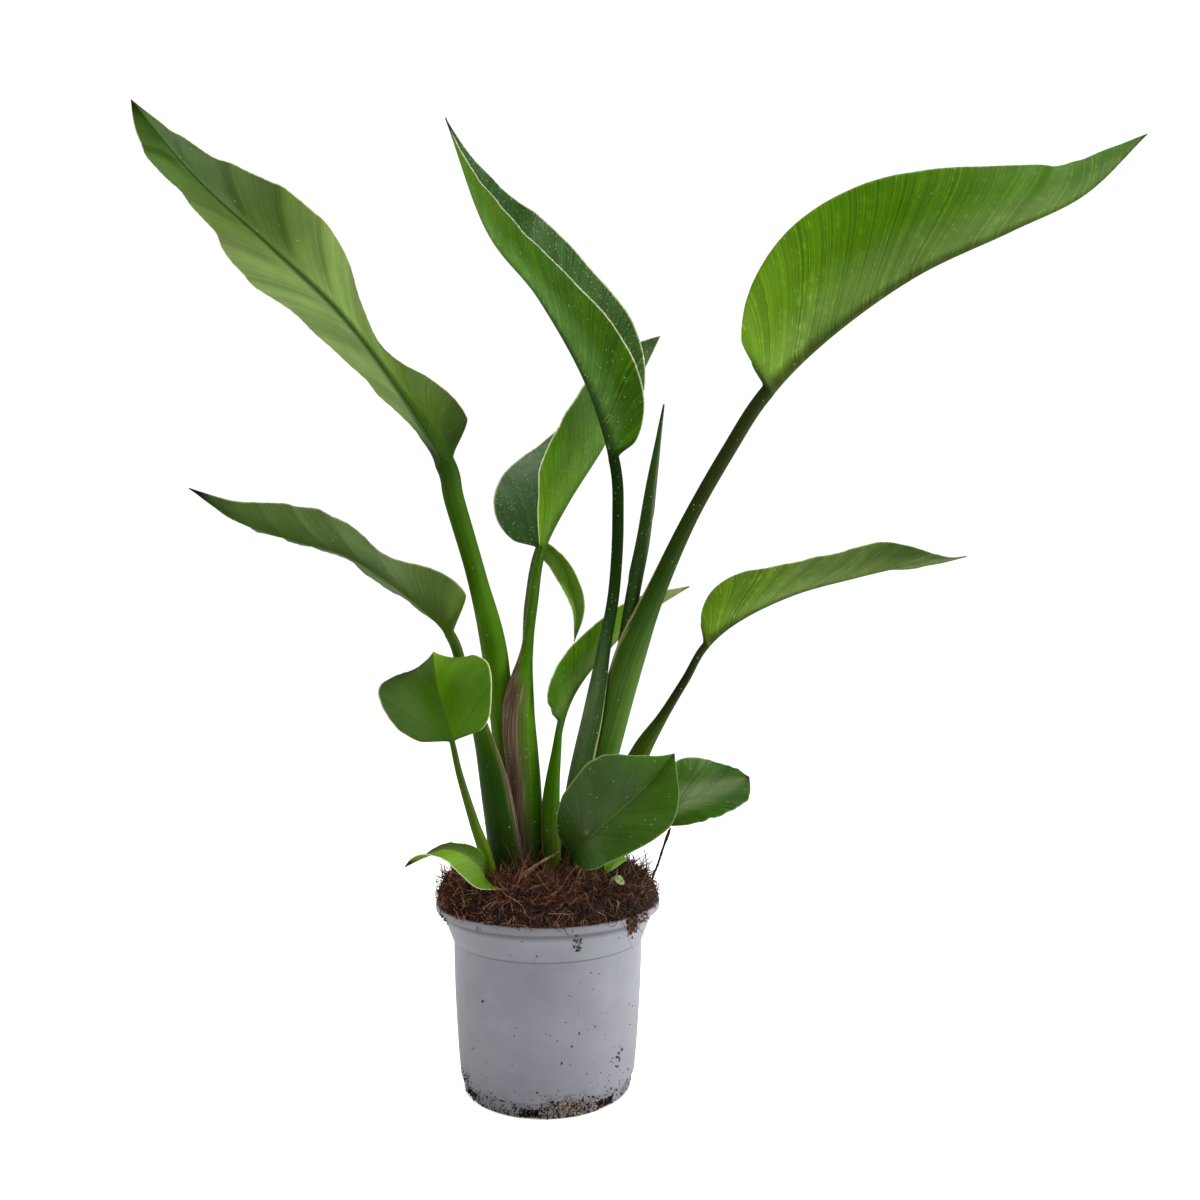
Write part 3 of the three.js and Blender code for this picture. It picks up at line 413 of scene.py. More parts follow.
# Mound: radius and height of its surface, from the middle out
MOUND = {
    "profile": [(0, 156.5), (28, 156.0), (50, 154.0), (68, 151.0), (77, 146.5), (82, 141.0), (84.2, 137.2)],
    # Side and underside inside the pot, from the bottom up to the lip
    "below": [(62.0, 12.0), (67.8, 70.0), (70.3, 111.0), (76.6, 124.0), (81.1, 133.0), (81.3, 136.8),
              (83.2, 136.9)],
    # How far the front lies lower, and the radii between which it goes down
    "dip": (5.5, 72.0, 81.0),
    # How far the front is drawn in, as a share, and the radius and height that its side keeps to
    "front": (0.036, 80.9, 131.0),
    # Radius of the lip's inside, and the height just above its top that soil on it keeps to
    "lip": (81.4, 136.8),
    # Clods and hollows: middle x, y, height, spread
    "clods": [(-42, -52, 3.5, 22), (-76, -14, 8, 9), (-70, -34, 4, 9), (-60, 30, 5, 14), (74, -16, 8, 10),
              (60, -40, 2.5, 10), (70, 24, 5, 14), (6, -66, 2.5, 14), (-20, -60, 2.5, 10), (36, -58, 2, 9)],
}
# Radius where the mound's surface ends
SOIL_EDGE = 84.0
# Loose fibres: share of the whole, mean length, points along one; and the longest that a fibre grows
FIBRE_KINDS = ((0.42, 8.0, 7), (0.58, 4.0, 5))
LONGEST_FIBRE = 13
# Radius within which and height above which a fibre has to end
FIBRE_BOUNDS = (88, 130)

# Soil stuck to the pot: middle x and height, spread sideways and in height, crumbs, size, pale share
SPILLS = [
    (19, 6, 11, 3.5, 620, 0.7, 0.7), (-58, 14, 3, 5, 40, 0.7, 0.1), (52, 33, 1.6, 4, 26, 0.7, 0.1),
    (44, 8, 10, 5, 130, 0.55, 0.4), (-34, 6, 18, 4, 300, 0.5, 0.5), (62, 131, 1.7, 4, 220, 1.0, 0),
    (70, 134, 3, 3, 40, 0.8, 0), (24, 123, 1.8, 5, 60, 0.55, 0.6), (-74, 130, 1.6, 3, 40, 0.8, 0),
    (0, 13, 60, 7, 120, 0.32, 0.1), (0, 3, 55, 2, 180, 0.6, 0.1),
]
# Peat behind the foot's notches: crumbs to a notch, their size, the radii between which they lie, the
# radius at which they fill the width, and the lowest height
PLUG = (260, 1.3, (57.5, 61.5), 59, 1.6)
# Single specks on the wall: x, height, size
SPECKS = [
    (-14, 126, 0.8), (-4, 115, 0.7), (-43, 78, 0.8), (-35, 77, 0.6), (36, 62, 0.8), (25, 60, 0.7),
    (61, 53, 0.7), (20, 51, 0.6), (13, 40, 0.8), (-4, 20, 0.7), (-52, 40, 0.5), (30, 30, 0.5),
    (46, 24, 0.6), (-20, 30, 0.4),
]
# Fibres caught on the rim and wall: x and height where each starts, x and height where it ends, radius
STRANDS = [
    (34, 141, 70, 122, 0.22), (-54, 143, -50, 127, 0.16), (-34, 138, -30, 126, 0.16),
    (62, 143, 66, 118, 0.3), (-72, 140, -66, 131, 0.25), (50, 141, 58, 130, 0.2),
    (12, 138, 20, 130, 0.2), (68, 139, 60, 112, 0.15),
]
# Lowest and highest crumbs on the wall, and the height above which they are coir
SPILL_HEIGHTS = (1.2, 136)
COIR_ABOVE = 118

# Lamps: name, place in metres, width, power, colour
SOFTBOXES = [
    ("softbox_right", (1.6, 0.05, 0.8), 1.4, 24.0, (1.0, 0.99, 0.93)),
    ("softbox_left", (-1.5, 0.2, 0.6), 1.2, 5.0, (1.0, 0.96, 0.9)),
    ("softbox_top", (0.0, -0.2, 2.1), 1.8, 27.0, (1.0, 1.0, 0.95)),
]
# Half the floor's width in millimetres, the point in metres that the lamps face, and how bright the
# floor and what lies behind it look to the camera
FLOOR_HALF = 6000
LAMP_TARGET = (0.05, 0.0, 0.36)
FLOOR_WHITE = 0.95
BACKDROP = 1.05

SLOTS = {entry["node"]: entry["material_slot"] for entry in frame["record"]["subparts"]}


# Shapes

def along(values, u):
    """Smooth curve through evenly spaced values for u from 0 to 1: on each span a cubic whose slope
    at a value is half the difference of its two neighbours; past the ends the values go on straight."""
    values = np.asarray(values, float)
    rows = values[:, None] if values.ndim == 1 else values
    last = len(rows) - 1
    ends = np.vstack([2 * rows[0] - rows[1], rows, 2 * rows[-1] - rows[-2]])
    s = np.clip(np.asarray(u, float) * last, 0, last)
    i = np.minimum(s.astype(int), last - 1)
    t = (s - i)[..., None]
    a, b, c, d = (ends[i + k] for k in range(4))
    out = 0.5 * (2 * b + (c - a) * t + (2 * a - 5 * b + 4 * c - d) * t ** 2
                 + (3 * b - a - 3 * c + d) * t ** 3)
    return out[..., 0] if values.ndim == 1 else out


def blend(a, b, share):
    """Straight mix from a to b."""
    return a + (b - a) * share


def ease(x, low=0.0, high=1.0):
    """0 below low, 1 above high and the cubic 3x^2 - 2x^3 between."""
    x = np.clip((x - low) / (high - low), 0, 1)
    return x * x * (3 - 2 * x)


def unit(p):
    """Vectors over their length."""
    return p / np.maximum(np.linalg.norm(p, axis=-1, keepdims=True), 1e-12)


def turned(r, a, z):
    """Points at radius r, angle a and height z round the upright axis."""
    return np.stack(np.broadcast_arrays(r * np.cos(a), r * np.sin(a), z), -1)


LATTICE_SIZE = 24
LATTICE = np.random.default_rng(11).random((LATTICE_SIZE,) * 3)


def lumps(p, size, octaves=3):
    """Uneven field between about -1 and 1: random numbers on a cubic lattice of the given size, mixed
    smoothly inside each cell, summed over octaves of half the size and half the strength."""
    total, weight, norm = 0.0, 1.0, 0.0
    for k in range(octaves):
        q = p / size * 2 ** k + 7.3 * k
        i = np.floor(q).astype(int)
        f = ease(q - i)
        cell = 0.0
        for corner in range(8):
            bits = np.array([corner & 1, corner >> 1 & 1, corner >> 2 & 1])
            share = np.prod(np.where(bits, f, 1 - f), axis=-1)
            x, y, z = np.moveaxis((i + bits) % LATTICE_SIZE, -1, 0)
            cell = cell + share * LATTICE[x, y, z]
        total = total + weight * (2 * cell - 1)
        norm += weight
        weight *= 0.5
    return total / norm * 1.6


def spine_frame(leaf, u):
    """Middle line and its directions: T along the line by central difference, N the leaf's facing
    made square to T, S their cross product, to the right as seen on the upper side."""
    step = 1e-3
    middle = along(leaf["spine"], u)
    T = unit(along(leaf["spine"], np.minimum(u + step, 1)) - along(leaf["spine"], np.maximum(u - step, 0)))
    face = along(leaf["face"], u)
    N = unit(face - np.sum(face * T, axis=-1, keepdims=True) * T)
    return middle, T, np.cross(T, N), N


def half_width(leaf, t, side):
    """Half-width at share t: full width times (1 - (1 - base)^2)^(shoulder/2), base growing from 0 to
    1 up to the widest place, times (1 - rest^taper)^1.1, rest growing from there to the tip."""
    base = np.minimum(t / leaf["widest"], 1)
    rest = np.maximum((t - leaf["widest"]) / (1 - leaf["widest"]), 0)
    swell = (1 - (1 - base) ** 2) ** (leaf["shoulder"] / 2)
    return leaf["half_width"][side] * swell * np.maximum(1 - rest ** leaf["taper"], 0) ** 1.1


def leaf_layout(leaf, columns, stalk_rows, blade_rows):
    """Places of a leaf's grid. A row is a closed loop of columns round the section at one place u of
    the spine: back of the left half, left margin, face of the left half, face of the right half, right
    margin, back of the right half. v is a column's share of the half-width, closer together at the
    midrib and the margin; over is 1 on the face, -1 on the back, 0 on the margin. t is a row's share
    of the blade, grown its share of the stalk, spread how far the stalk has opened into the blade."""
    g = SimpleNamespace()
    x = np.linspace(0, 1, columns + 1)
    share = 0.5 * x + 0.25 * (1 - np.cos(np.pi * x))
    g.v = np.concatenate([share, [1], share[:0:-1]] * 2)[None]
    g.side = np.repeat([-1, 1], 2 * columns + 2)[None]
    g.over = np.repeat([-1, 0, 1, 1, 0, -1], [columns + 1, 1, columns, columns + 1, 1, columns])[None]
    g.rim = g.over == 0
    start = leaf["blade_from"] / (len(leaf["spine"]) - 1)
    t_rows = LAST_ROW * np.linspace(0, 1, blade_rows) ** 1.35
    u = np.concatenate([np.linspace(0, start, stalk_rows, endpoint=False), start + (1 - start) * t_rows])
    g.t = np.concatenate([np.zeros(stalk_rows), t_rows])[:, None]
    g.middle, g.T, g.S, g.N = (a[:, None] for a in spine_frame(leaf, u))
    g.spread = ease(g.t, 0, OPENING)
    g.grown = np.minimum(u / start, 1)
    steps = np.linalg.norm(np.diff(g.middle[:, 0], axis=0), axis=-1)
    g.length = np.concatenate([[0], np.cumsum(steps)])[:, None]
    g.blade_length = g.length - np.interp(start, u, g.length[:, 0])
    return g


def blade_section(leaf, pleat, g, rng):
    """Right and up of the blade's points: at distance d from the midrib, turned up by the fold, bent on
    by the curl, and moved off the middle sheet by half the thickness, by pleats along the veins and by
    a ripple that grows as v^3 to the margin. The midrib swells the back as r exp(-(d/0.85r)^2) and is
    a groove on the face."""
    t, v, side = g.t, g.v, g.side

    def halves(left, right):
        return np.where(side > 0, right, left)
    fold = np.radians(halves(along(leaf["fold_left"], t), along(leaf["fold_right"], t)))
    turn = np.radians(halves(*leaf["curl"])) * v / 2
    lean = fold + 2 * turn
    g.width = halves(half_width(leaf, t, 0), half_width(leaf, t, 1))
    g.d = g.width * v
    g.slant = along(leaf["slant"], t[:, 0])[:, None]
    g.rib = blend(leaf["radius"][-1], RIB_AT_TIP, t ** 0.7)

    # Pleats and ripples
    g.vein = g.blade_length + (g.slant - 1.0 - 1.1 * t + 0.5 * v) * g.d
    wave = rng.random(6) * 2 * np.pi
    pleat_width = 12 + 0.5 * max(leaf["half_width"])
    g.phase = g.vein * 2 * np.pi / pleat_width + wave[3] + 0.9 * np.sin(g.vein / 23 + wave[4])
    pleats = pleat * np.sin(g.phase + 0.6 * np.sin(g.phase))
    pleats = pleats + FINE_PLEAT * np.sin(g.vein * 2 * np.pi / 6.5 + 1.5 * np.sin(g.vein / 14))
    g.body = ease(v, 0.03, 0.3) * ease(g.width, 3, 22)
    ripple = sum(np.sin(f * t * 2 * np.pi + p + side) for f, p in zip((3.1, 5.7, 9.3), wave)) / 2.2
    shift = g.body * pleats + RIPPLE * ripple * v ** 3 * ease(g.width, 3, 25) * ease(t, 0.03, 0.15)

    # Faces
    half_thick = blend(*THICKNESS, v) / 2
    groove = 0.7 * np.minimum(g.rib / 3, 1) * np.exp(-(g.d / 1.5) ** 2)
    swell = np.maximum(g.rib - half_thick, 0) * np.exp(-(g.d / (0.85 * g.rib)) ** 2)
    off = shift + np.where(g.over > 0, half_thick - groove, np.where(g.rim, 0, -half_thick - swell))
    sheet = np.stack([-side * np.sin(lean), np.cos(lean)], -1)
    out = unit(blend(np.array([0.0, 1.0]), sheet, ease(g.d / (1.6 * g.rib))[..., None]))
    reach = g.d * np.sinc(turn / np.pi)
    right = side * reach * np.cos(fold + turn) + out[..., 0] * off + g.rim * side * ROUNDING * np.cos(lean)
    up = reach * np.sin(fold + turn) + out[..., 1] * off + g.rim * ROUNDING * np.sin(lean)
    return right, up


def stalk_section(leaf, g):
    """Right and up of the stalk's points: the back columns on a round bark with fine ribs, the face
    columns in its trough, flat at hollow 0 and as round as the bark at hollow 1."""
    g.radius = np.where(g.t > 0, g.rib, along(leaf["radius"], g.grown)[:, None])
    g.hollow = along(leaf["hollow"], g.grown)[:, None]
    grip = np.radians(along(leaf["grip"], g.grown))[:, None]
    inner = g.radius - np.minimum(1.3, 0.3 * g.radius)
    g.angle = g.side * grip * (g.v ** 0.55 + 0.03 * g.rim)
    ribs = 0.12 * np.sin(9 * g.angle + 0.6 * np.sin(g.length / 25)) * ease(g.radius, 2, 5) * ~g.rim
    bark = np.where(g.rim, (g.radius + inner) / 2, g.radius) + ribs
    f = g.side * g.v
    return (np.where(g.over > 0, inner * blend(f * np.sin(grip), np.sin(f * grip), g.hollow),
                     bark * np.sin(g.angle)),
            np.where(g.over > 0, -inner * blend(np.cos(grip), np.cos(f * grip), g.hollow),
                     -bark * np.cos(g.angle)))


def colours(names):
    """Linear RGB rows of named colours."""
    rgb = np.array([[int(COLOURS[name][k:k + 2], 16) / 255 for k in (0, 2, 4)] for name in names.split()])
    return np.where(rgb <= 0.04045, rgb / 12.92, ((rgb + 0.055) / 1.055) ** 2.4)


def ramp(names, u):
    """Colours for u from 0 to 1 along evenly spaced named ones."""
    return np.clip(along(colours(names), u), 0, 1)


def covered(tint, colour, share):
    """Tints covered by a colour, given by name or as numbers, to a share."""
    colour = colours(colour)[0] if isinstance(colour, str) else colour
    return blend(tint, colour, share[..., None])


def blade_tint(paint, pleat, g):
    """Colours of the blade: base to tip for each half and each side, under a pale bloom with painted sheen
    that changes from the rib to the margin, and painted sawtooth shading that turns light at each pleat's
    crest."""
    def by_half(values):
        return np.where((g.side > 0)[..., None], values[-1], values[0])
    mid_blade = (0.4 + 0.6 * np.sin(np.pi * g.t ** 0.8))[..., None]
    sides = []
    for key, wax_and_sheen in zip(("under", "upper"), colours(paint["wax_and_sheen"])):
        base = by_half([ramp(names, g.t[:, 0])[:, None] for names in paint[key]])
        # Pale bloom with painted sheen, its share changing from the rib to the margin
        bloom_and_sheen = by_half([blend(at_margin, at_rib, ease(g.v, 0.6, 0.1))[..., None]
                         for at_rib, at_margin in paint["bloom_and_sheen"]])
        sides.append(blend(base, wax_and_sheen, bloom_and_sheen * mid_blade))
    face = g.over > 0
    fold_share = g.phase / (2 * np.pi) % 1
    shade = 0.4 * pleat * g.body * (fold_share - ease(fold_share, 0.86, 1) - 0.45)
    shade = shade + 0.02 * np.sin(g.phase * 3.1)
    return np.where(face[..., None], sides[1], sides[0]) * (1 + np.where(face, -shade, shade))[..., None]


def stalk_tint(paint, g, height):
    """Colours of the stalk from the soil to the blade, with painted shade inside the sheath and just above
    the soil. Where the sheath gapes, its edges are dry and papery, frayed and streaked; on its back lies a
    silver bloom with painted sheen."""
    back = g.over <= 0
    gape = ease(g.hollow, 0.05, 0.9) * (1 - g.spread)
    streaks = (np.sin(g.angle * 47 + 3 * np.sin(g.length / 30))
               * np.sin(g.angle * 19 + 2 * np.sin(g.length / 47)))
    streaks = 0.5 * np.maximum(streaks, 0) ** 1.5
    fray = 0.07 * np.sin(g.angle * 61) + 0.05 * np.sin(g.angle * 23 + g.length / 9)
    papery_from = blend(1, np.where(g.side > 0, paint["papery"][1], paint["papery"][0]), gape)
    papery = ease(gape, 0, 0.1) * ease(g.v + gape * fray, papery_from, 0.52 + 0.5 * papery_from)
    dry = blend(*colours(paint["edge"] + " tan"), ease(gape, 0.6, 0.1)[..., None])
    dry = covered(dry, "paper", streaks * gape)
    # Silver bloom with painted sheen, half way up the middle of the sheath's back
    frost_and_sheen = np.exp(-((g.grown[:, None] - 0.42) / 0.16) ** 2 - (g.v / 0.5) ** 2) * (0.6 + streaks)
    tint = ramp(paint["stalk"], g.grown)[:, None]
    tint = covered(tint, "silver", paint.get("frost_and_sheen", 0) * frost_and_sheen * back)
    tint = covered(tint, dry, papery * back)
    tint = covered(tint, "paper", 0.8 * gape * ease(g.v, 0.97, 1) * back)
    # Painted shade inside the sheath and just above the soil
    soil_shade = ease(height, *SOIL_SHADE_HEIGHTS) * ease(g.radius, 3, 7)
    return tint * (np.where(back, 1, 0.7) * (1 - 0.5 * soil_shade))[..., None]


def leaf_tint(paint, detail, g, height):
    """Colours of a leaf: stalk and blade, the midrib as dark as the stalk on the back with painted shade
    beside it that reaches wider at the base, a pale line down the middle of the face, the margin, a spot
    where there is one, and the tip."""
    face = g.over > 0
    blade = blade_tint(paint, detail["pleat"], g)
    tint = blend(stalk_tint(paint, g, height), blade, ease(g.t, 0, 0.05)[..., None])
    # The midrib's dark band is its own colour and painted shade beside it, reaching wider at the base
    rib_shade_width = g.rib * blend(1.1, 0.75, ease(g.t, 0, 0.35))
    midrib = np.where(face, 0.2, 0.85) * np.exp(-(g.d / rib_shade_width) ** 4) * g.spread
    tint = covered(tint, paint["stalk"].split()[-1], midrib * ease(1 - g.t, 0.0, 0.6))
    line = 0.4 * detail["veins"] * face * np.exp(-(g.d / 0.7) ** 2) * g.spread
    tint = covered(tint, paint["wax_and_sheen"].split()[1], line)
    margin = ease(g.width - g.d, 0.6, 0.25) * g.spread * ease(g.width, 2, 6)
    tint = covered(tint, paint["margin"], margin * ease(1 - g.t, 0.01, 0.08))
    if "spot" in paint:
        place, across = paint["spot"]
        spot = np.exp(-((g.t - place) * 60) ** 2 - ((g.side * g.d - across) / 1.5) ** 2) * face
        tint = covered(tint, "tan", 0.8 * spot)
    tip, tip_from = paint["tip"]
    return covered(tint, tip, ease(g.t, tip_from, blend(tip_from, 1, 0.7)))


def leaf_surface(name, seed):
    """Grid, texture places, colours and fields of a leaf: the section of the stalk turns into that of
    the blade over the blade's first part, and is carried along the spine. The blade's points also move
    along the spine by the slant times their distance from the midrib."""
    leaf, detail = LEAVES[name], DETAIL[name]
    g = leaf_layout(leaf, *detail["grid"])
    right, up = blade_section(leaf, detail["pleat"], g, np.random.default_rng(seed))
    stalk_right, stalk_up = stalk_section(leaf, g)
    points = (g.middle + g.S * blend(stalk_right, right, g.spread)[..., None]
              + g.N * blend(stalk_up, up, g.spread)[..., None] + g.T * (g.spread * g.slant * g.d)[..., None])
    tint = leaf_tint(PAINT[name], detail, g, points[..., 2])
    across = blend(g.angle * g.radius, g.side * g.d, g.spread)
    uv = np.stack([blend(g.length, g.vein, g.spread), across], -1) / 10
    fields = {"blade": g.spread, "dew": detail["dew"] * np.where(g.over > 0, 1, 0.25),
              "wax_and_sheen": np.where(g.over > 0, 1, 0.3), "veins": detail["veins"]}
    fields = {key: values + 0 * g.d for key, values in fields.items()}
    return points, uv, tint, fields


def tube_surface(points, radius, sides, rows):
    """Parts of a round stem's grid: its smooth middle line, the rays of a circle square to it, the
    smooth radius there, and the angle and share of length of each point."""
    u = np.linspace(0, 1, rows)
    line = {"spine": points, "face": [[0.2, -0.95, 0.1]] * 2}
    middle, _, S, N = (a[:, None] for a in spine_frame(line, u))
    angle = np.linspace(0, 2 * np.pi, sides, endpoint=False)[None, :, None]
    r = along(radius, u)[:, None, None]
    return middle, S * np.cos(angle) + N * np.sin(angle), r, angle[..., 0], u[:, None]


# Meshes

def mesh_object(name, points, quads, tris, uv=None, tint=None, fields=None, sharp=None):
    """Object of one mesh from arrays: points in millimetres, quads and tris as rows of indices."""
    mesh = bpy.data.meshes.new(name)
    points = np.asarray(points, np.float32).reshape(-1, 3) * MM
    quads = np.asarray(quads, np.int32).reshape(-1, 4)
    tris = np.asarray(tris, np.int32).reshape(-1, 3)
    loops = np.concatenate([quads.ravel(), tris.ravel()])
    starts = np.concatenate([np.arange(len(quads)) * 4, len(quads) * 4 + np.arange(len(tris)) * 3])
    mesh.vertices.add(len(points))
    mesh.vertices.foreach_set("co", points.ravel())
    mesh.loops.add(len(loops))
    mesh.loops.foreach_set("vertex_index", loops)
    mesh.polygons.add(len(starts))
    mesh.polygons.foreach_set("loop_start", starts.astype(np.int32))
    mesh.update(calc_edges=True)
    mesh.polygons.foreach_set("use_smooth", np.ones(len(starts), bool))
    if uv is not None:
        layer = mesh.uv_layers.new(name="UVMap")
        layer.data.foreach_set("uv", np.asarray(uv, np.float32).reshape(-1, 2)[loops].ravel())
    if tint is not None:
        rgb = np.asarray(tint, np.float32).reshape(-1, 3)
        rgba = np.hstack([rgb, np.ones((len(rgb), 1), np.float32)])
        mesh.color_attributes.new("tint", "FLOAT_COLOR", "POINT").data.foreach_set("color", rgba.ravel())
    for key, values in (fields or {}).items():
        attribute = mesh.attributes.new(key, "FLOAT", "POINT")
        attribute.data.foreach_set("value", np.asarray(values, np.float32).ravel())
    if sharp:
        mesh.set_sharp_from_angle(angle=math.radians(sharp))
    mesh.validate()
    thing = bpy.data.objects.new(name, mesh)
    bpy.context.scene.collection.objects.link(thing)
    return thing


def grid_faces(rows, columns, outward=True):
    """Quads between neighbouring rows of a grid whose rows close on themselves."""
    i, k = np.meshgrid(np.arange(rows - 1), np.arange(columns), indexing="ij")
    a, b = i * columns + k, i * columns + (k + 1) % columns
    quads = np.stack([a, b, b + columns, a + columns], -1).reshape(-1, 4)
    return quads if outward else quads[:, ::-1]


def closed_grid(name, grid, first, last, outward=True, **more):
    """Closed object from a grid of closed rows, its ends shut by fans to the two given points."""
    rows, columns = grid.shape[:2]
    count = rows * columns
    k = np.arange(columns)
    base = count - columns
    start = np.stack([(k + 1) % columns, k, np.full(columns, count)], -1)
    end = np.stack([base + k, base + (k + 1) % columns, np.full(columns, count + 1)], -1)
    tris = np.vstack([start, end])
    if not outward:
        tris = tris[:, ::-1]
    for key in ("uv", "tint"):
        if more.get(key) is not None:
            values = np.asarray(more[key])
            ends = np.stack([values[0].mean(0), values[-1].mean(0)])
            more[key] = np.vstack([values.reshape(count, -1), ends])
    more["fields"] = {key: np.append(values.ravel(), [values[0, 0], values[-1, 0]])
                      for key, values in (more.get("fields") or {}).items()}
    points = np.vstack([grid.reshape(-1, 3), first, last])
    return mesh_object(name, points, grid_faces(rows, columns, outward), tris, **more)


def settle(piece, material, slot, *nodes):
    """Gives a piece its material and body, and hides the solids it stands for; the slot is not used."""
    piece.data.materials.append(material)
    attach(piece, "root")
    if nodes:
        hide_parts(*nodes)


# Materials

def feed(tree, node, inputs):
    """Sets a node's inputs to values, or links them from sockets and terms."""
    for key, value in inputs.items():
        value = getattr(value, "socket", value)
        if isinstance(value, bpy.types.NodeSocket):
            tree.links.new(value, node.inputs[key])
        else:
            node.inputs[key].default_value = value


def add_node(tree, kind, inputs=None, **settings):
    """New node with its settings and inputs."""
    made = tree.nodes.new("ShaderNode" + kind)
    for key, value in settings.items():
        setattr(made, key, value)
    feed(tree, made, inputs or {})
    return made


def maths(tree, operation, *values, clamp=False):
    """Result of a math node, as a term."""
    made = add_node(tree, "Math", dict(enumerate(values)), operation=operation, use_clamp=clamp)
    return Term(tree, made.outputs[0])


class Term:
    """A number socket that can be reckoned with: each sign between terms adds a math node."""

    def __init__(self, tree, socket):
        self.tree = tree
        self.socket = socket

    def __add__(self, other):
        return maths(self.tree, "ADD", self, other)

    def __sub__(self, other):
        return maths(self.tree, "SUBTRACT", self, other)

    def __rsub__(self, other):
        return maths(self.tree, "SUBTRACT", other, self)

    def __mul__(self, other):
        return maths(self.tree, "MULTIPLY", self, other)

    def __lt__(self, other):
        return maths(self.tree, "LESS_THAN", self, other)

    def __abs__(self):
        return maths(self.tree, "ABSOLUTE", self)

    def ranged(self, low, high, to_low=0.0, to_high=1.0, smooth=False):
        """The value moved from one range to another and held at its ends."""
        made = add_node(self.tree, "MapRange", {0: self, 1: low, 2: high, 3: to_low, 4: to_high},
                        interpolation_type="SMOOTHSTEP" if smooth else "LINEAR")
        return Term(self.tree, made.outputs[0])


def mixed(tree, factor, a, b):
    """Colour socket mixed from a to b."""
    return add_node(tree, "Mix", {0: factor, 6: a, 7: b}, data_type="RGBA").outputs[2]


def times(tree, colour, light):
    """Colour socket multiplied by a number or by three."""
    return add_node(tree, "VectorMath", {0: colour, 1: light}, operation="MULTIPLY").outputs[0]


def noise(tree, scale, vector=None, w=None, detail=3.0, roughness=0.5):
    """Noise term in space, or along one number."""
    inputs = {"Scale": scale, "Detail": detail, "Roughness": roughness}
    inputs["Vector" if w is None else "W"] = vector if w is None else w
    made = add_node(tree, "TexNoise", inputs, noise_dimensions="3D" if w is None else "1D")
    return Term(tree, made.outputs[0])


def cells(tree, place, scale):
    """Distance from the nearest of many scattered points, and three random numbers of that point."""
    made = add_node(tree, "TexVoronoi", {"Vector": place, "Scale": scale})
    return Term(tree, made.outputs["Distance"]), components(tree, made.outputs["Color"])


def components(tree, vector):
    """The three terms of a vector."""
    return [Term(tree, socket) for socket in add_node(tree, "SeparateXYZ", {0: vector}).outputs]


def object_place(tree):
    """Vector socket of the point in its object's space."""
    return add_node(tree, "TexCoord").outputs["Object"]


def field(tree, name):
    """Term of a number that is stored on the mesh."""
    return Term(tree, add_node(tree, "Attribute", attribute_name=name).outputs["Fac"])


def mesh_tint(tree):
    """Colour socket of the tint stored on the mesh."""
    return add_node(tree, "Attribute", attribute_name="tint").outputs["Color"]


def bumped(tree, strength, distance, height):
    """Normal socket of a surface raised by a height."""
    return add_node(tree, "Bump", {"Strength": strength, "Distance": distance, "Height": height}).outputs[0]


def open_group(name, ins, outs):
    """Shader node group, the terms of its inputs by name, and its output node."""
    tree = bpy.data.node_groups.new(name, "ShaderNodeTree")
    kinds = {"c": "NodeSocketColor", "f": "NodeSocketFloat", "v": "NodeSocketVector"}
    for words, way in ((ins, "INPUT"), (outs, "OUTPUT")):
        for key, kind in words.items():
            tree.interface.new_socket(name=key, in_out=way, socket_type=kinds[kind])
    given = tree.nodes.new("NodeGroupInput").outputs
    return tree, {key: Term(tree, given[key]) for key in ins}, tree.nodes.new("NodeGroupOutput")


def leaf_skin_group():
    """Colour, roughness and normal of a leaf: the tint, streaked along the veins of the blade and the
    fibres of the stalk, with soft bands, mottle and broken pale lines, and dotted with dew drops painted
    pale for their glint."""
    tree, given, result = open_group(
        "leaf_skin", {"Tint": "c", "Streaks": "f", "Lines": "f", "Relief": "f", "Dew": "f"},
        {"Color": "c", "Roughness": "f", "Normal": "v"})
    uv = add_node(tree, "UVMap", uv_map="UVMap").outputs[0]
    lengthwise, across, _ = components(tree, uv)
    place = object_place(tree)
    blade = field(tree, "blade")
    veined = field(tree, "veins")

    # Streaks
    veins = noise(tree, 5.5, w=lengthwise, detail=2.0, roughness=0.6)
    fibres = noise(tree, 9.0, w=across + noise(tree, 9.0, place) * 0.06, detail=2.0)
    fine = veins * blade + fibres * (1.0 - blade)
    band = noise(tree, 1.3, w=lengthwise, detail=1.0).ranged(0.35, 0.65, -0.5, 0.5) * blade
    mottle = noise(tree, 38.0, place, detail=4.0).ranged(0.3, 0.7, -0.35, 0.35)
    strength = (fine.ranged(0.36, 0.64, -1.0, 1.0) + band) * given["Streaks"] * veined
    colour = times(tree, given["Tint"], strength + mottle * 0.35 + 1.0)

    # Pale lines where a second noise along the veins crosses its middle value
    lines = abs(noise(tree, 7.0, w=lengthwise + 40.0, detail=1.0) - 0.5).ranged(0.024, 0.006)
    lines = lines * noise(tree, 150.0, place, detail=2.0).ranged(0.5, 0.62)
    lines = lines * blade * given["Lines"] * veined.ranged(0.5, 1.0)
    colour = mixed(tree, lines, colour, times(tree, colour, PALE_LINE))

    # Dew: drops painted pale for their glint, smoother and raised
    distance, (chance, size, _) = cells(tree, place, 430.0)
    there = chance < field(tree, "dew") * given["Dew"]
    dome = (distance - size * 0.24).ranged(0.15, 0.0, smooth=True) * there
    colour = mixed(tree, dome * 0.6, colour, DEW_GLINT)
    rough = noise(tree, 90.0, place, detail=2.0).ranged(0.3, 0.7, 0.4, 0.56) - dome * 0.38
    normal = bumped(tree, 0.5, 0.0004, fine * given["Relief"] + dome * 1.2)
    feed(tree, result, {"Color": colour, "Roughness": rough, "Normal": normal})


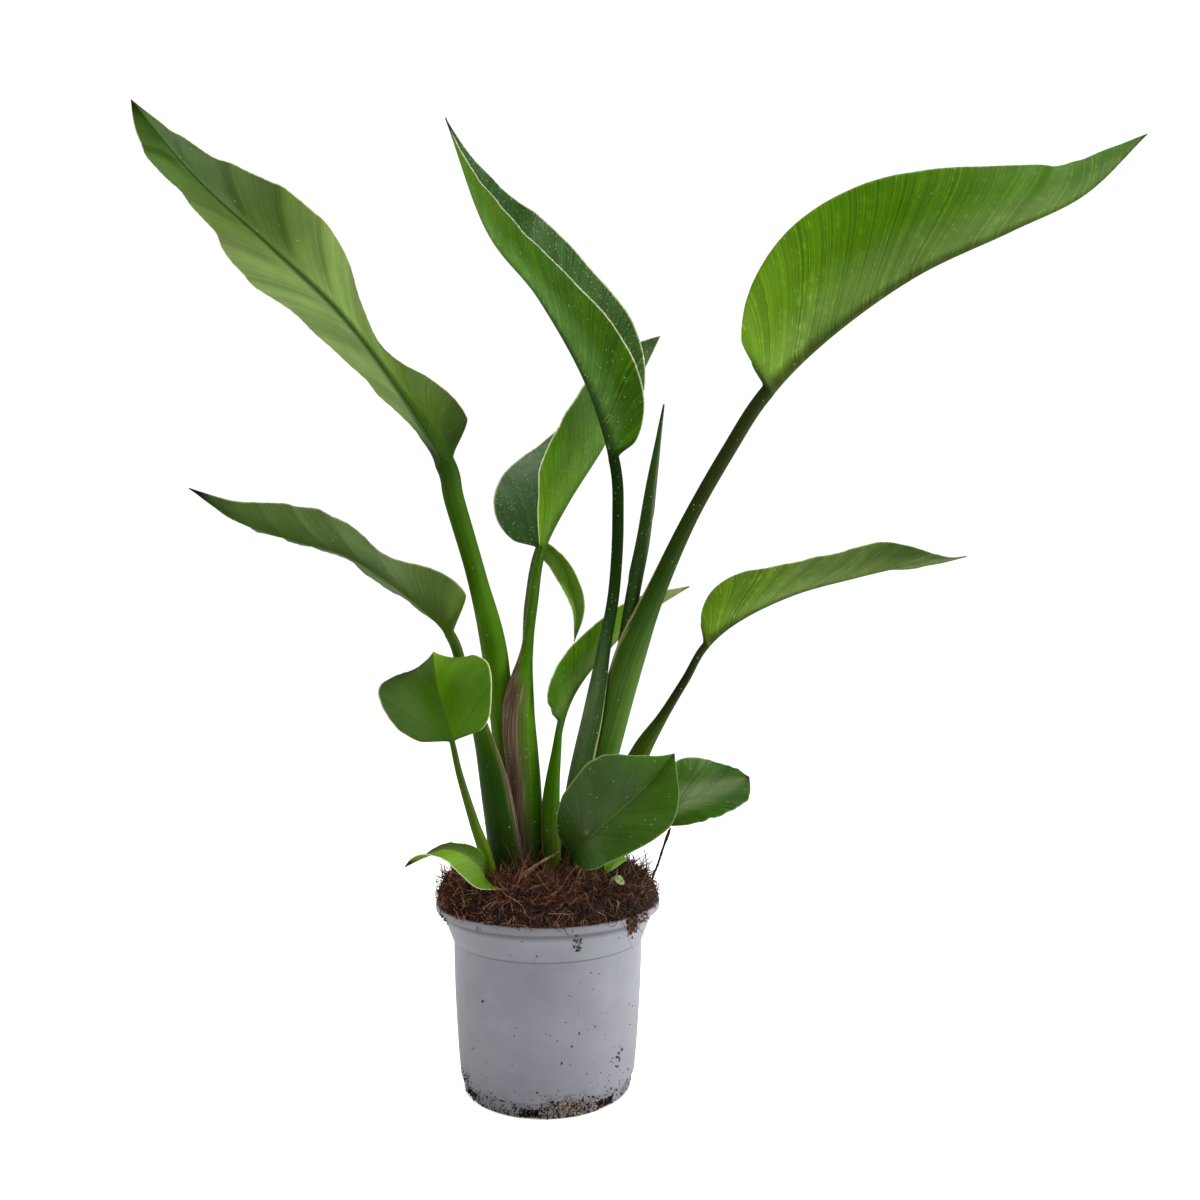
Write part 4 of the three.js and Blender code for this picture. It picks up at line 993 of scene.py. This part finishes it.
def dust_group():
    """Colour and roughness of a surface under dry soil dust: a thin film, smudges and small dark
    specks, more of them towards the foot."""
    tree, given, result = open_group("soil_dust", {"Color": "c", "Amount": "f"},
                                     {"Color": "c", "Roughness": "f", "Mask": "f"})
    place = object_place(tree)
    low = components(tree, place)[2].ranged(0.034, 0.0, smooth=True)
    smudge = noise(tree, 45.0, place, detail=6.0, roughness=0.65)
    smudge = (smudge - (0.74 - low * 0.2)).ranged(-0.02, 0.12)
    distance, (chance, _, _) = cells(tree, place, 230.0)
    speck = (chance < low * 0.16 + 0.012) * distance.ranged(0.22, 0.12)
    mask = maths(tree, "MULTIPLY", maths(tree, "MAXIMUM", smudge, speck), given["Amount"], clamp=True)
    film = noise(tree, 14.0, place, detail=5.0).ranged(0.35, 0.75, 0.0, 0.22) * given["Amount"]
    colour = mixed(tree, mask, mixed(tree, film, given["Color"], DRY_DUST), WET_DUST)
    feed(tree, result, {"Color": colour, "Roughness": mask.ranged(0.0, 1.0, 0.42, 0.9), "Mask": mask})


def open_material(name):
    """New material and its shader."""
    made = bpy.data.materials.new(name)
    made.use_nodes = True
    return made, made.node_tree, made.node_tree.nodes["Principled BSDF"]


def leaf_material(name, streaks, lines, relief):
    """Living leaf: tint from the mesh through the leaf skin group."""
    made, tree, shader = open_material(name)
    plant = bpy.context.scene.plant
    inputs = {"Tint": mesh_tint(tree), "Streaks": streaks, "Lines": lines, "Relief": relief, "Dew": plant.dew}
    skin = add_node(tree, "Group", inputs, node_tree=bpy.data.node_groups["leaf_skin"])
    feed(tree, shader, {socket.name.replace("Color", "Base Color"): socket for socket in skin.outputs})
    feed(tree, shader, {"Specular IOR Level": field(tree, "wax_and_sheen") * plant.gloss})


def earth_material(name, rough, grain):
    """Dry or damp plant matter: tint from the mesh, broken up by noise, with a rough bump."""
    made, tree, shader = open_material(name)
    grains = noise(tree, grain, object_place(tree), detail=5.0, roughness=0.7)
    feed(tree, shader, {"Base Color": times(tree, mesh_tint(tree), grains.ranged(0.3, 0.7, 0.45, 1.5)),
                        "Normal": bumped(tree, 0.6, 0.0008, grains), "Roughness": rough})


def root_material(name):
    """Bark of the crowns and roots: two browns mixed by noise, with a bump."""
    made, tree, shader = open_material(name)
    bark = noise(tree, 160.0, object_place(tree), detail=5.0).ranged(0.3, 0.7)
    feed(tree, shader, {"Base Color": mixed(tree, bark, ROOT_DARK, ROOT_PALE),
                        "Normal": bumped(tree, 0.5, 0.001, bark), "Roughness": 0.85})
    return made


def pot_material(name, colour):
    """Moulded grey plastic: soft mottle, darker towards the foot, with painted shade on the left and painted
    light on the right, painted shade in the creases under the lip and at the two steps, fine grain, dust
    and specks of soil."""
    made, tree, shader = open_material(name)
    place = object_place(tree)
    across, _, height = components(tree, place)
    mottle = noise(tree, 26.0, place, detail=6.0, roughness=0.6).ranged(0.35, 0.65, 0.9, 1.08)
    # Darker towards the foot; painted shade on the left and painted light on the right
    light = mottle * height.ranged(0.0, 0.075, 0.85, 1.0, smooth=True) * across.ranged(-0.07, 0.06, 0.9, 1.06)
    # Painted shade in the creases under the lip and at the two steps
    for level, reach, depth in SHADED_CREASES:
        light = light * abs(height - level).ranged(0.0, reach, depth, 1.0, smooth=True)
    inputs = {"Color": times(tree, tuple(colour), light), "Amount": 0.85}
    dust = add_node(tree, "Group", inputs, node_tree=bpy.data.node_groups["soil_dust"])
    raised = noise(tree, 900.0, place, detail=2.0) * 0.15 + dust.outputs["Mask"]
    feed(tree, shader, {"Base Color": dust.outputs["Color"], "Roughness": dust.outputs["Roughness"],
                        "Normal": bumped(tree, 0.25, 0.0005, raised)})
    return made


def floor_material(name, bounce):
    """White floor that gives off a little light, and glows white in the camera's own view, except under
    the pot's foot, about 6 cm round the middle."""
    made, tree, shader = open_material(name)
    place = object_place(tree)
    away = Term(tree, add_node(tree, "VectorMath", {0: place}, operation="LENGTH").outputs["Value"])
    glow = camera_ray(tree).ranged(0.0, 1.0, bounce, FLOOR_WHITE) * away.ranged(0.06, 0.064)
    feed(tree, shader, {"Base Color": noise(tree, 3.0, place).ranged(0.3, 0.7, 0.92, 0.94), "Roughness": 0.9,
                        "Emission Color": WHITE, "Emission Strength": glow})
    return made


def camera_ray(tree):
    """Term that is 1 where the camera looks straight at the surface and 0 for bounced light."""
    return Term(tree, add_node(tree, "LightPath").outputs["Is Camera Ray"])


def shared_materials():
    """Node groups and materials that several pieces use, built on first call."""
    if "leaf_skin" in bpy.data.node_groups:
        return
    leaf_skin_group()
    dust_group()
    veins = bpy.context.scene.plant.veins
    leaf_material("leaf", veins, 0.8, 1.0)
    leaf_material("spear_skin", veins * 0.5, 0.0, 0.6)
    earth_material("coir", 0.92, 700.0)
    earth_material("dry_bark", 0.8, 500.0)


# Soil and pot forms

def front_share(x, y):
    """1 at the front of the mound, where it stays inside the lip, 0 at its sides and back."""
    return ease(-y / np.maximum(np.hypot(x, y), 1), 0.3, 0.75)


def mound_height(x, y):
    """Height of the soil: the turned outline, lowered at the front, plus a Gaussian hump for each clod,
    plus lumps of 16 and of 4 mm that fade out over the rim. On the lip it is never below its top."""
    x, y = np.asarray(x, float), np.asarray(y, float)
    r = np.hypot(x, y)
    radii, heights = zip(*MOUND["profile"])
    dip, start, end = MOUND["dip"]
    z = np.interp(r, radii, heights) - dip * ease(r, start, end) * front_share(x, y)
    for cx, cy, height, spread in MOUND["clods"]:
        z = z + height * np.exp(-((x - cx) ** 2 + (y - cy) ** 2) / spread ** 2)
    flat = np.stack([x, y, 0 * x + 5], -1)
    rough = 2.6 * lumps(flat, 16.0, 2) + 2.2 * lumps(flat + 40, 4.5, 3)
    z = z + (0.35 + 0.65 * ease(r, SOIL_EDGE, 70.0)) * rough
    inside, lip_top = MOUND["lip"]
    return np.where(r > inside, np.maximum(z, lip_top), z)


def on_mound(r, a, lift=0.0):
    """Places on the mound at radius r and angle a, lifted a little."""
    x, y = r * np.cos(a), r * np.sin(a)
    return np.stack([x, y, mound_height(x, y) + lift], -1)


def soil_tints(rng, count):
    """Random coir colours, from black through reddish brown to straw."""
    palette = colours("peat umber coir rust clay husk chaff")
    weights = np.array([0.12, 0.12, 0.18, 0.24, 0.19, 0.11, 0.04])
    return palette[rng.choice(len(palette), count, p=weights)] * rng.uniform(0.7, 1.4, (count, 1))


def shaded_tints(rng, places):
    """Soil colours with painted shade towards the back and the right, under the leaves."""
    shade = 1.35 - 0.65 * ease(places[:, 0], -10, 60) - 0.45 * ease(places[:, 1], -20, 30)
    return soil_tints(rng, len(places)) * shade[:, None]


def repeated(faces, count, points):
    """Faces of one piece repeated for a number of pieces with so many points each."""
    return (faces[None] + (np.arange(count) * points)[:, None, None]).reshape(-1, faces.shape[1])


def fibre_arrays(starts, ways, bends, lengths, widths, tints, steps=7):
    """Three-sided threads: point at share s of a thread is start + length (s way + s^2 bend), with a
    small sideways wave, and its thickness falls to a tenth at both ends."""
    s = np.linspace(0, 1, steps)[None, :, None]
    line = starts[:, None] + lengths[:, None, None] * (s * ways[:, None] + s ** 2 * bends[:, None])
    across = unit(np.cross(ways, bends) + 1e-6)
    line = line + 0.13 * lengths[:, None, None] * np.sin(s * 9 + starts[:, None, :1]) * across[:, None]
    heading = unit(np.gradient(line, axis=1))
    a = unit(np.cross(heading, across[:, None] + 0.3))
    b = np.cross(heading, a)
    angle = np.arange(3) * 2 * np.pi / 3
    r = widths[:, None, None, None] * (1 - 0.9 * np.abs(2 * s - 1) ** 3)[..., None]
    ring = a[:, :, None] * np.cos(angle)[:, None] + b[:, :, None] * np.sin(angle)[:, None]
    points = line[:, :, None] + r * ring
    count, each = len(starts), steps * 3
    caps = np.array([[2, 1, 0], [each - 3, each - 2, each - 1]])
    return (points.reshape(-1, 3), repeated(grid_faces(steps, 3), count, each), repeated(caps, count, each),
            np.repeat(tints, each, axis=0))


GOLDEN = (1 + 5 ** 0.5) / 2
ICOSAHEDRON = unit(np.array([
    (-1, GOLDEN, 0), (1, GOLDEN, 0), (-1, -GOLDEN, 0), (1, -GOLDEN, 0), (0, -1, GOLDEN), (0, 1, GOLDEN),
    (0, -1, -GOLDEN), (0, 1, -GOLDEN), (GOLDEN, 0, -1), (GOLDEN, 0, 1), (-GOLDEN, 0, -1), (-GOLDEN, 0, 1),
]))
ICOSAHEDRON_FACES = np.array([
    (0, 11, 5), (0, 5, 1), (0, 1, 7), (0, 7, 10), (0, 10, 11), (1, 5, 9), (5, 11, 4), (11, 10, 2),
    (10, 7, 6), (7, 1, 8), (3, 9, 4), (3, 4, 2), (3, 2, 6), (3, 6, 8), (3, 8, 9), (4, 9, 5), (2, 4, 11),
    (6, 2, 10), (8, 6, 7), (9, 8, 1),
])


def crumb_arrays(rng, middles, sizes, tints):
    """Crumbs: an icosahedron each, its corners moved in and out at random and squeezed at random."""
    count, corners = len(middles), len(ICOSAHEDRON)
    moved = ICOSAHEDRON[None] * rng.uniform(0.6, 1.3, (count, corners, 1))
    moved = moved * rng.uniform(0.4, 1.6, (count, 1, 3))
    points = middles[:, None] + moved * sizes[:, None, None]
    faces = repeated(ICOSAHEDRON_FACES, count, corners)
    return points.reshape(-1, 3), np.zeros((0, 4), int), faces, np.repeat(tints, corners, axis=0)


def joined(*parts):
    """Arrays of several meshes put into one: points, quads, tris and tints."""
    points, quads, tris, tints, count = [], [], [], [], 0
    for p, q, f, c in parts:
        points.append(p)
        quads.append(q + count)
        tris.append(f + count)
        tints.append(c)
        count += len(p)
    return np.vstack(points), np.vstack(quads), np.vstack(tris), np.vstack(tints)


def loose_soil(name, *parts):
    """Piece of loose soil from arrays of threads and crumbs."""
    points, quads, tris, tints = joined(*parts)
    piece = mesh_object(name, points, quads, tris, tint=tints)
    settle(piece, bpy.data.materials["coir"], SLOTS["soil"])


def on_pot(x, z, lift=0.0):
    """Point on the front of the pot's wall at sideways place x and height z."""
    radii, heights = np.array(POT["outside"][WALL]).T
    r = np.interp(z, heights, radii) + lift
    x = np.clip(x, -r * 0.999, r * 0.999)
    return np.stack([x, -np.sqrt(r ** 2 - x ** 2), z], -1)


# Settings

class PlantSettings(bpy.types.PropertyGroup):
    """Dew, gloss and veins of the leaves that a user would change."""
    dew: bpy.props.FloatProperty(name="Dew", description="Share of the leaves' dew drops that show",
                                 default=1.0, min=0.0, max=2.0, subtype="FACTOR")
    gloss: bpy.props.FloatProperty(name="Leaf gloss", description="Strength of the waxy shine on leaves",
                                   default=0.28, min=0.0, max=1.0, subtype="FACTOR")
    veins: bpy.props.FloatProperty(name="Veins", description="Contrast of the veins against the blade",
                                   default=0.2, min=0.0, max=1.0, subtype="FACTOR")


class PotSettings(bpy.types.PropertyGroup):
    """Colour of the pot, its facets and the crumbs on its wall."""
    colour: bpy.props.FloatVectorProperty(name="Plastic", description="Colour of the pot's plastic", size=3,
                                          default=(0.335, 0.345, 0.415), subtype="COLOR", min=0, max=1)
    sides: bpy.props.IntProperty(name="Sides", description="Facets round the pot", default=224, min=24)
    crumbs: bpy.props.IntProperty(name="Crumbs", description="Loose crumbs stuck to the wall",
                                  default=150, min=0)


class SoilSettings(bpy.types.PropertyGroup):
    """Texture of the soil."""
    fibres: bpy.props.IntProperty(name="Fibres", description="Loose fibres on the mound",
                                  default=6200, min=0)
    crumbs: bpy.props.IntProperty(name="Crumbs", description="Crumbs on the mound", default=2200, min=0)
    fibre_width: bpy.props.FloatProperty(name="Fibre radius", description="Radius of a fibre",
                                         default=0.00026, unit="LENGTH", min=0.00002, max=0.001)


class StageSettings(bpy.types.PropertyGroup):
    """Camera, floor and light."""
    lens: bpy.props.FloatProperty(name="Lens", description="Focal length of the camera", default=28.5,
                                  min=10, unit="CAMERA")
    eye: bpy.props.FloatVectorProperty(name="Eye", description="Place of the camera", size=3,
                                       default=(0.0395, -0.739, 0.326), subtype="XYZ", unit="LENGTH")
    pitch: bpy.props.FloatProperty(name="Pitch", description="Upward tilt of the view",
                                   default=math.atan(49 / 950), subtype="ANGLE")
    sky: bpy.props.FloatProperty(name="Sky", description="Strength of the light from all around",
                                 default=0.14, min=0)
    bounce: bpy.props.FloatProperty(name="Bounce", description="Light that the white floor gives off",
                                    default=0.22, min=0)


# Operators

class Maker:
    """What the operators have in common: each makes its pieces once the shared materials are there."""

    def execute(self, context):
        shared_materials()
        self.make(context.scene)
        return {"FINISHED"}


def add_leaf(name):
    """One leaf from its grid."""
    points, uv, tint, fields = leaf_surface(name, 100 + list(LEAVES).index(name))
    spine = LEAVES[name]["spine"]
    piece = closed_grid(name + "_piece", points, spine[0], spine[-1], uv=uv, tint=tint, fields=fields)
    settle(piece, bpy.data.materials["leaf"], SLOTS[name], name)


class PLANT_OT_add_leaves(Maker, bpy.types.Operator):
    """Make the grown leaves"""
    bl_idname = "plant.add_leaves"
    bl_label = "Add Leaves"

    def make(self, scene):
        for name in LEAVES:
            if not name.startswith("sprout"):
                add_leaf(name)


class PLANT_OT_add_sprouts(Maker, bpy.types.Operator):
    """Make the two young sprouts"""
    bl_idname = "plant.add_sprouts"
    bl_label = "Add Sprouts"

    def make(self, scene):
        for name in ("sprout_yellow", "sprout_pale"):
            add_leaf(name)


class PLANT_OT_add_spear(Maker, bpy.types.Operator):
    """Make the rolled leaf that hasn't opened yet"""
    bl_idname = "plant.add_spear"
    bl_label = "Add Spear"

    def make(self, scene):
        stem = STEMS["spear"]
        middle, ray, r, angle, u = tube_surface(stem["points"], stem["radius"], 72, 220)

        # The rolled edge climbs round the spear and stands a step above the turn below it
        turns = (angle / (2 * np.pi) + ROLL_TURNS * u + 0.35) % 1
        step = (0.75 * (1 - turns) - 0.3) * ease(u, 0.25, 0.6) * ease(u, 1.0, 0.9)
        ridge = np.exp(-(turns / 0.03) ** 2) + np.exp(-((1 - turns) / 0.03) ** 2)
        grid = middle + ray * (r + step[..., None])
        tint = blend(*colours("bottle deep"), (0.5 + 0.5 * np.sin(angle + 2.4))[..., None])
        tint = covered(tint, "bark", 0.75 * np.clip(ridge * ease(u, 0.35, 0.5) * ease(u, 0.98, 0.9), 0, 1))
        tint = covered(tint, "black", ease(u, 0.95, 1.0))
        uv = np.stack(np.broadcast_arrays(u * 42, angle * r[..., 0] / 10), -1)
        ones = np.ones(grid.shape[:2])
        piece = closed_grid("spear_piece", grid, stem["points"][0], stem["points"][-1], uv=uv, tint=tint,
                            fields={"blade": 0 * ones, "dew": 0.3 * ones, "wax_and_sheen": ones, "veins": ones})
        settle(piece, bpy.data.materials["spear_skin"], SLOTS["spear"], "spear")


class PLANT_OT_add_dry_stems(Maker, bpy.types.Operator):
    """Make the dry twig and the black stalk"""
    bl_idname = "plant.add_dry_stems"
    bl_label = "Add Dry Stems"

    def make(self, scene):
        for name, dark, pale in (("dry_twig", "clay", "chaff"), ("dry_stalk", "peat", "umber")):
            stem = STEMS[name]
            middle, ray, r, _, _ = tube_surface(stem["points"], stem["radius"], 24, 90)
            rough = lumps(middle + ray * r, 2.2, 2)
            grid = middle + ray * r * (1 + 0.22 * rough[..., None])
            tint = covered(colours(dark)[0], pale, np.clip(0.5 + 0.5 * rough, 0, 1))
            piece = closed_grid(name + "_piece", grid, stem["points"][0], stem["points"][-1], tint=tint)
            settle(piece, bpy.data.materials["dry_bark"], SLOTS[name], name)


class PLANT_OT_add_crowns(Maker, bpy.types.Operator):
    """Give the crowns and roots inside the soil their bark"""
    bl_idname = "plant.add_crowns"
    bl_label = "Dress Crowns"

    def make(self, scene):
        bark = root_material("root_bark")
        for name in ("crown_left", "crown_right"):
            slots = frame["nodes"][name].data.materials
            for k in range(len(slots)):
                slots[k] = bark
            if not len(slots):
                slots.append(bark)


class PLANT_OT_add_pot(Maker, bpy.types.Operator):
    """Make the nursery pot: a turned outline whose foot is raised at the notches"""
    bl_idname = "plant.add_pot"
    bl_label = "Add Pot"

    def make(self, scene):
        profile = np.array(POT["under"][1:] + POT["outside"])
        r, z = profile.T[..., None]
        half = math.degrees(math.asin(POT["notch_width"] / 2 / POT["foot_radius"]))
        lean = POT["notch_lean"]
        starts = POT["first_notch"] + 360 * np.arange(POT["notches"]) / POT["notches"]
        edges = np.concatenate([starts + away for away in (-half, lean - half, half - lean, half)])
        angle = np.unique(np.concatenate([np.arange(scene.pot.sides) * 360 / scene.pot.sides, edges % 360]))
        away = np.abs((angle[:, None] - starts + 180) % 360 - 180).min(1)
        lifted = POT["notch_height"] * (away < half - lean / 2)
        foot = (r > POT["foot_inside"]) & (z < POT["notch_height"])
        z = np.where(foot & (lifted > 0), np.maximum(z, lifted), z)
        piece = closed_grid("pot_piece", turned(r, np.radians(angle), z), (0, 0, profile[0, 1]),
                            (0, 0, profile[-1, 1]), outward=False, sharp=32)
        settle(piece, pot_material("pot_plastic", scene.pot.colour), SLOTS["pot"], "pot")


class PLANT_OT_add_soil(Maker, bpy.types.Operator):
    """Make the mound of soil"""
    bl_idname = "plant.add_soil"
    bl_label = "Add Soil"

    def make(self, scene):
        a = np.linspace(0, 2 * np.pi, 300, endpoint=False)[None]
        front = front_share(np.cos(a), np.sin(a))
        drawn_in, widest, highest = MOUND["front"]
        top = on_mound(np.linspace(SOIL_EDGE, 0.6, 150)[:, None] * (1 - drawn_in * front), a)
        r, z = np.array(MOUND["below"]).T[..., None]
        r = blend(r, np.minimum(r, widest), front)
        z = blend(z, np.minimum(z, highest), front)
        grid = np.vstack([turned(r, a, z), top])
        light = np.clip(0.35 + 0.6 * lumps(grid, 9.0, 3), 0, 1)
        # Painted shade towards the back and the right, under the leaves
        dark = ease(grid[..., 0], -10, 60) * 0.5 + ease(grid[..., 1], -20, 30) * 0.4
        tint = blend(*colours("peat coir"), light[..., None]) * (1 - 0.6 * dark)[..., None]
        piece = closed_grid("soil_piece", grid, (0, 0, 12.0), (0, 0, float(mound_height(0, 0))), tint=tint)
        settle(piece, bpy.data.materials["coir"], SLOTS["soil"], "soil")


class PLANT_OT_add_fibres(Maker, bpy.types.Operator):
    """Scatter coir fibres and crumbs over the mound and the rim"""
    bl_idname = "plant.add_fibres"
    bl_label = "Add Fibres"

    def make(self, scene):
        rng = np.random.default_rng(5)
        reach, lowest = FIBRE_BOUNDS
        for label, start, sweep in (("soil_fibres", 0, 2 * np.pi), ("soil_fibres_front", np.pi, np.pi)):
            groups = []
            for share, mean_length, steps in FIBRE_KINDS:
                count = int(scene.soil.fibres * share)
                r = 84.5 * np.sqrt(rng.uniform(0.02, 1, count))
                a = start + sweep * rng.uniform(0, 1, count)
                starts = on_mound(r, a, -rng.uniform(-0.5, 1.0, count))
                turn = rng.uniform(0, 2 * np.pi, count)
                ways = unit(turned(1, turn, rng.normal(0.4, 0.45, count)))
                bends = rng.normal(0, 1.1, (count, 3)) - np.array([0, 0, 0.6])
                lengths = np.minimum(rng.gamma(3.0, mean_length / 3, count) + 2, LONGEST_FIBRE)
                widths = scene.soil.fibre_width / MM * rng.uniform(0.5, 1.7, count)
                tips = starts + lengths[:, None] * (ways + bends)
                kept = (np.hypot(tips[:, 0], tips[:, 1]) < reach) & (tips[:, 2] > lowest)
                threads = (starts, ways, bends, lengths, widths, shaded_tints(rng, starts))
                groups.append(fibre_arrays(*(array[kept] for array in threads), steps))
            loose_soil(label, *groups)
        count = scene.soil.crumbs
        r = 84 * np.sqrt(rng.uniform(0, 1, count))
        middles = on_mound(r, rng.uniform(0, 2 * np.pi, count), 0.2)
        sizes = rng.gamma(2.0, 0.22, count) + 0.2
        loose_soil("soil_crumbs", crumb_arrays(rng, middles, sizes, shaded_tints(rng, middles)))


class PLANT_OT_add_spills(Maker, bpy.types.Operator):
    """Stick crumbs, specks and strands of soil to the pot"""
    bl_idname = "plant.add_spills"
    bl_label = "Add Spilled Soil"

    def make(self, scene):
        rng = np.random.default_rng(8)
        specks = np.array(SPECKS)
        groups = [(specks[:, :2], specks[:, 2], np.zeros(len(specks)))]
        for x, z, wide, high, count, size, pale in SPILLS:
            at = rng.normal(0, 1, (count, 2)) * [wide, high] + [x, z]
            at[:, 1] = np.clip(at[:, 1], *SPILL_HEIGHTS)
            groups.append((at, size * rng.uniform(0.4, 1.4, count), np.full(count, pale)))
        strewn = scene.pot.crumbs
        at = np.stack([rng.uniform(-68, 68, strewn), 132 * rng.uniform(0, 1, strewn) ** 2.2 + 1], -1)
        groups.append((at, rng.gamma(2.0, 0.11, strewn) + 0.08, np.zeros(strewn)))
        places, sizes, pale = (np.concatenate(part) for part in zip(*groups))
        middles = on_pot(places[:, 0], places[:, 1])
        pick = rng.uniform(0, 1, len(sizes))
        dirt = colours("peat umber stone")[np.where(pick < pale, 2, np.where(pick < 0.8, 0, 1))]
        coir = 0.6 * soil_tints(rng, len(sizes))
        dirt = dirt * rng.uniform(0.7, 1.3, (len(sizes), 1))
        dirt = np.where(places[:, 1:] > COIR_ABOVE, coir, dirt)
        count, size, ring, filled, lowest = PLUG
        for notch in range(POT["notches"]):
            turn = rng.uniform(-1, 1, count) * POT["notch_width"] / 2 / filled
            turn = turn + math.radians(POT["first_notch"]) + notch * 2 * np.pi / POT["notches"]
            r = rng.uniform(*ring, count)
            z = rng.uniform(lowest, POT["notch_height"] + 1, count)
            middles = np.vstack([middles, turned(r, turn, z)])
            sizes = np.append(sizes, size * rng.uniform(0.5, 1.2, count))
            dirt = np.vstack([dirt, np.repeat(colours("peat"), count, axis=0)])
        crumbs = crumb_arrays(rng, middles, sizes, dirt)
        x, z, tip_x, tip_z, widths = np.array(STRANDS).T
        starts = on_pot(x, z, 2.0)
        span = on_pot(tip_x, tip_z, 1.2) - starts
        lengths = np.linalg.norm(span, axis=1)
        ways = unit(span + np.array([0, -0.25, 0.3]) * lengths[:, None])
        bends = span / lengths[:, None] - ways
        tints = colours("peat chaff chaff coir coir umber umber umber")
        threads = fibre_arrays(starts, ways, bends, lengths, widths, tints, steps=14)
        loose_soil("spilled_soil", threads, crumbs)


class PLANT_OT_add_stage(Maker, bpy.types.Operator):
    """Set the pale floor, the soft light and the camera"""
    bl_idname = "plant.add_stage"
    bl_label = "Add Stage"

    def make(self, scene):
        settings = scene.stage
        corners = np.array([(-1, -1, 0), (1, -1, 0), (1, 1, 0), (-1, 1, 0)]) * FLOOR_HALF
        floor = mesh_object("floor", corners, [[0, 1, 2, 3]], [])
        floor.data.materials.append(floor_material("floor_white", settings.bounce))
        scene.world = world = bpy.data.worlds.new("studio")
        world.use_nodes = True
        tree = world.node_tree
        glow = camera_ray(tree).ranged(0.0, 1.0, settings.sky, BACKDROP)
        feed(tree, tree.nodes["Background"], {"Color": WHITE, "Strength": glow})
        for name, place, size, energy, colour in SOFTBOXES:
            data = bpy.data.lights.new(name, "AREA")
            data.shape, data.size, data.energy, data.color = "DISK", size, energy, colour
            lamp = bpy.data.objects.new(name, data)
            lamp.location = place
            aim = np.array(LAMP_TARGET) - place
            lamp.rotation_euler = (math.pi - math.acos(aim[2] / np.linalg.norm(aim)), 0,
                                   math.atan2(aim[1], aim[0]) - math.pi / 2)
            lamp.visible_camera = False
            scene.collection.objects.link(lamp)
        data = bpy.data.cameras.new("photo_camera")
        data.sensor_width, data.lens = 36.0, settings.lens
        data.clip_start, data.clip_end = 0.01, 50
        camera = bpy.data.objects.new("photo_camera", data)
        camera.location = settings.eye
        camera.rotation_euler = (math.pi / 2 + settings.pitch, 0, 0)
        scene.collection.objects.link(camera)
        scene.camera = camera
        scene.view_settings.view_transform = "Standard"


class PLANT_PT_panel(bpy.types.Panel):
    """Sizes, colours and pieces of the plant"""
    bl_label = "Bird of Paradise"
    bl_idname = "PLANT_PT_panel"
    bl_space_type = "VIEW_3D"
    bl_region_type = "UI"
    bl_category = "Plant"

    def draw(self, context):
        layout, scene = self.layout, context.scene
        for group in (scene.plant, scene.pot, scene.soil, scene.stage):
            box = layout.box()
            for key in group.bl_rna.properties.keys():
                if key not in ("rna_type", "name"):
                    box.prop(group, key)
        for operator in OPERATORS:
            layout.operator(operator.bl_idname)


GROUPS = {"plant": PlantSettings, "pot": PotSettings, "soil": SoilSettings, "stage": StageSettings}
OPERATORS = (
    PLANT_OT_add_stage, PLANT_OT_add_pot, PLANT_OT_add_soil, PLANT_OT_add_fibres, PLANT_OT_add_spills,
    PLANT_OT_add_crowns, PLANT_OT_add_leaves, PLANT_OT_add_sprouts, PLANT_OT_add_spear,
    PLANT_OT_add_dry_stems,
)


def register():
    """Registers the classes and hangs the settings on the scene."""
    for cls in (*GROUPS.values(), *OPERATORS, PLANT_PT_panel):
        bpy.utils.register_class(cls)
    for key, cls in GROUPS.items():
        setattr(bpy.types.Scene, key, bpy.props.PointerProperty(type=cls))


def unregister():
    """Takes the settings and classes away again."""
    for key in GROUPS:
        delattr(bpy.types.Scene, key)
    for cls in (PLANT_PT_panel, *reversed(OPERATORS), *GROUPS.values()):
        bpy.utils.unregister_class(cls)


def main():
    """Makes every piece in order."""
    register()
    for operator in OPERATORS:
        group, key = operator.bl_idname.split(".")
        getattr(getattr(bpy.ops, group), key)()


if __name__ == "__main__":
    main()
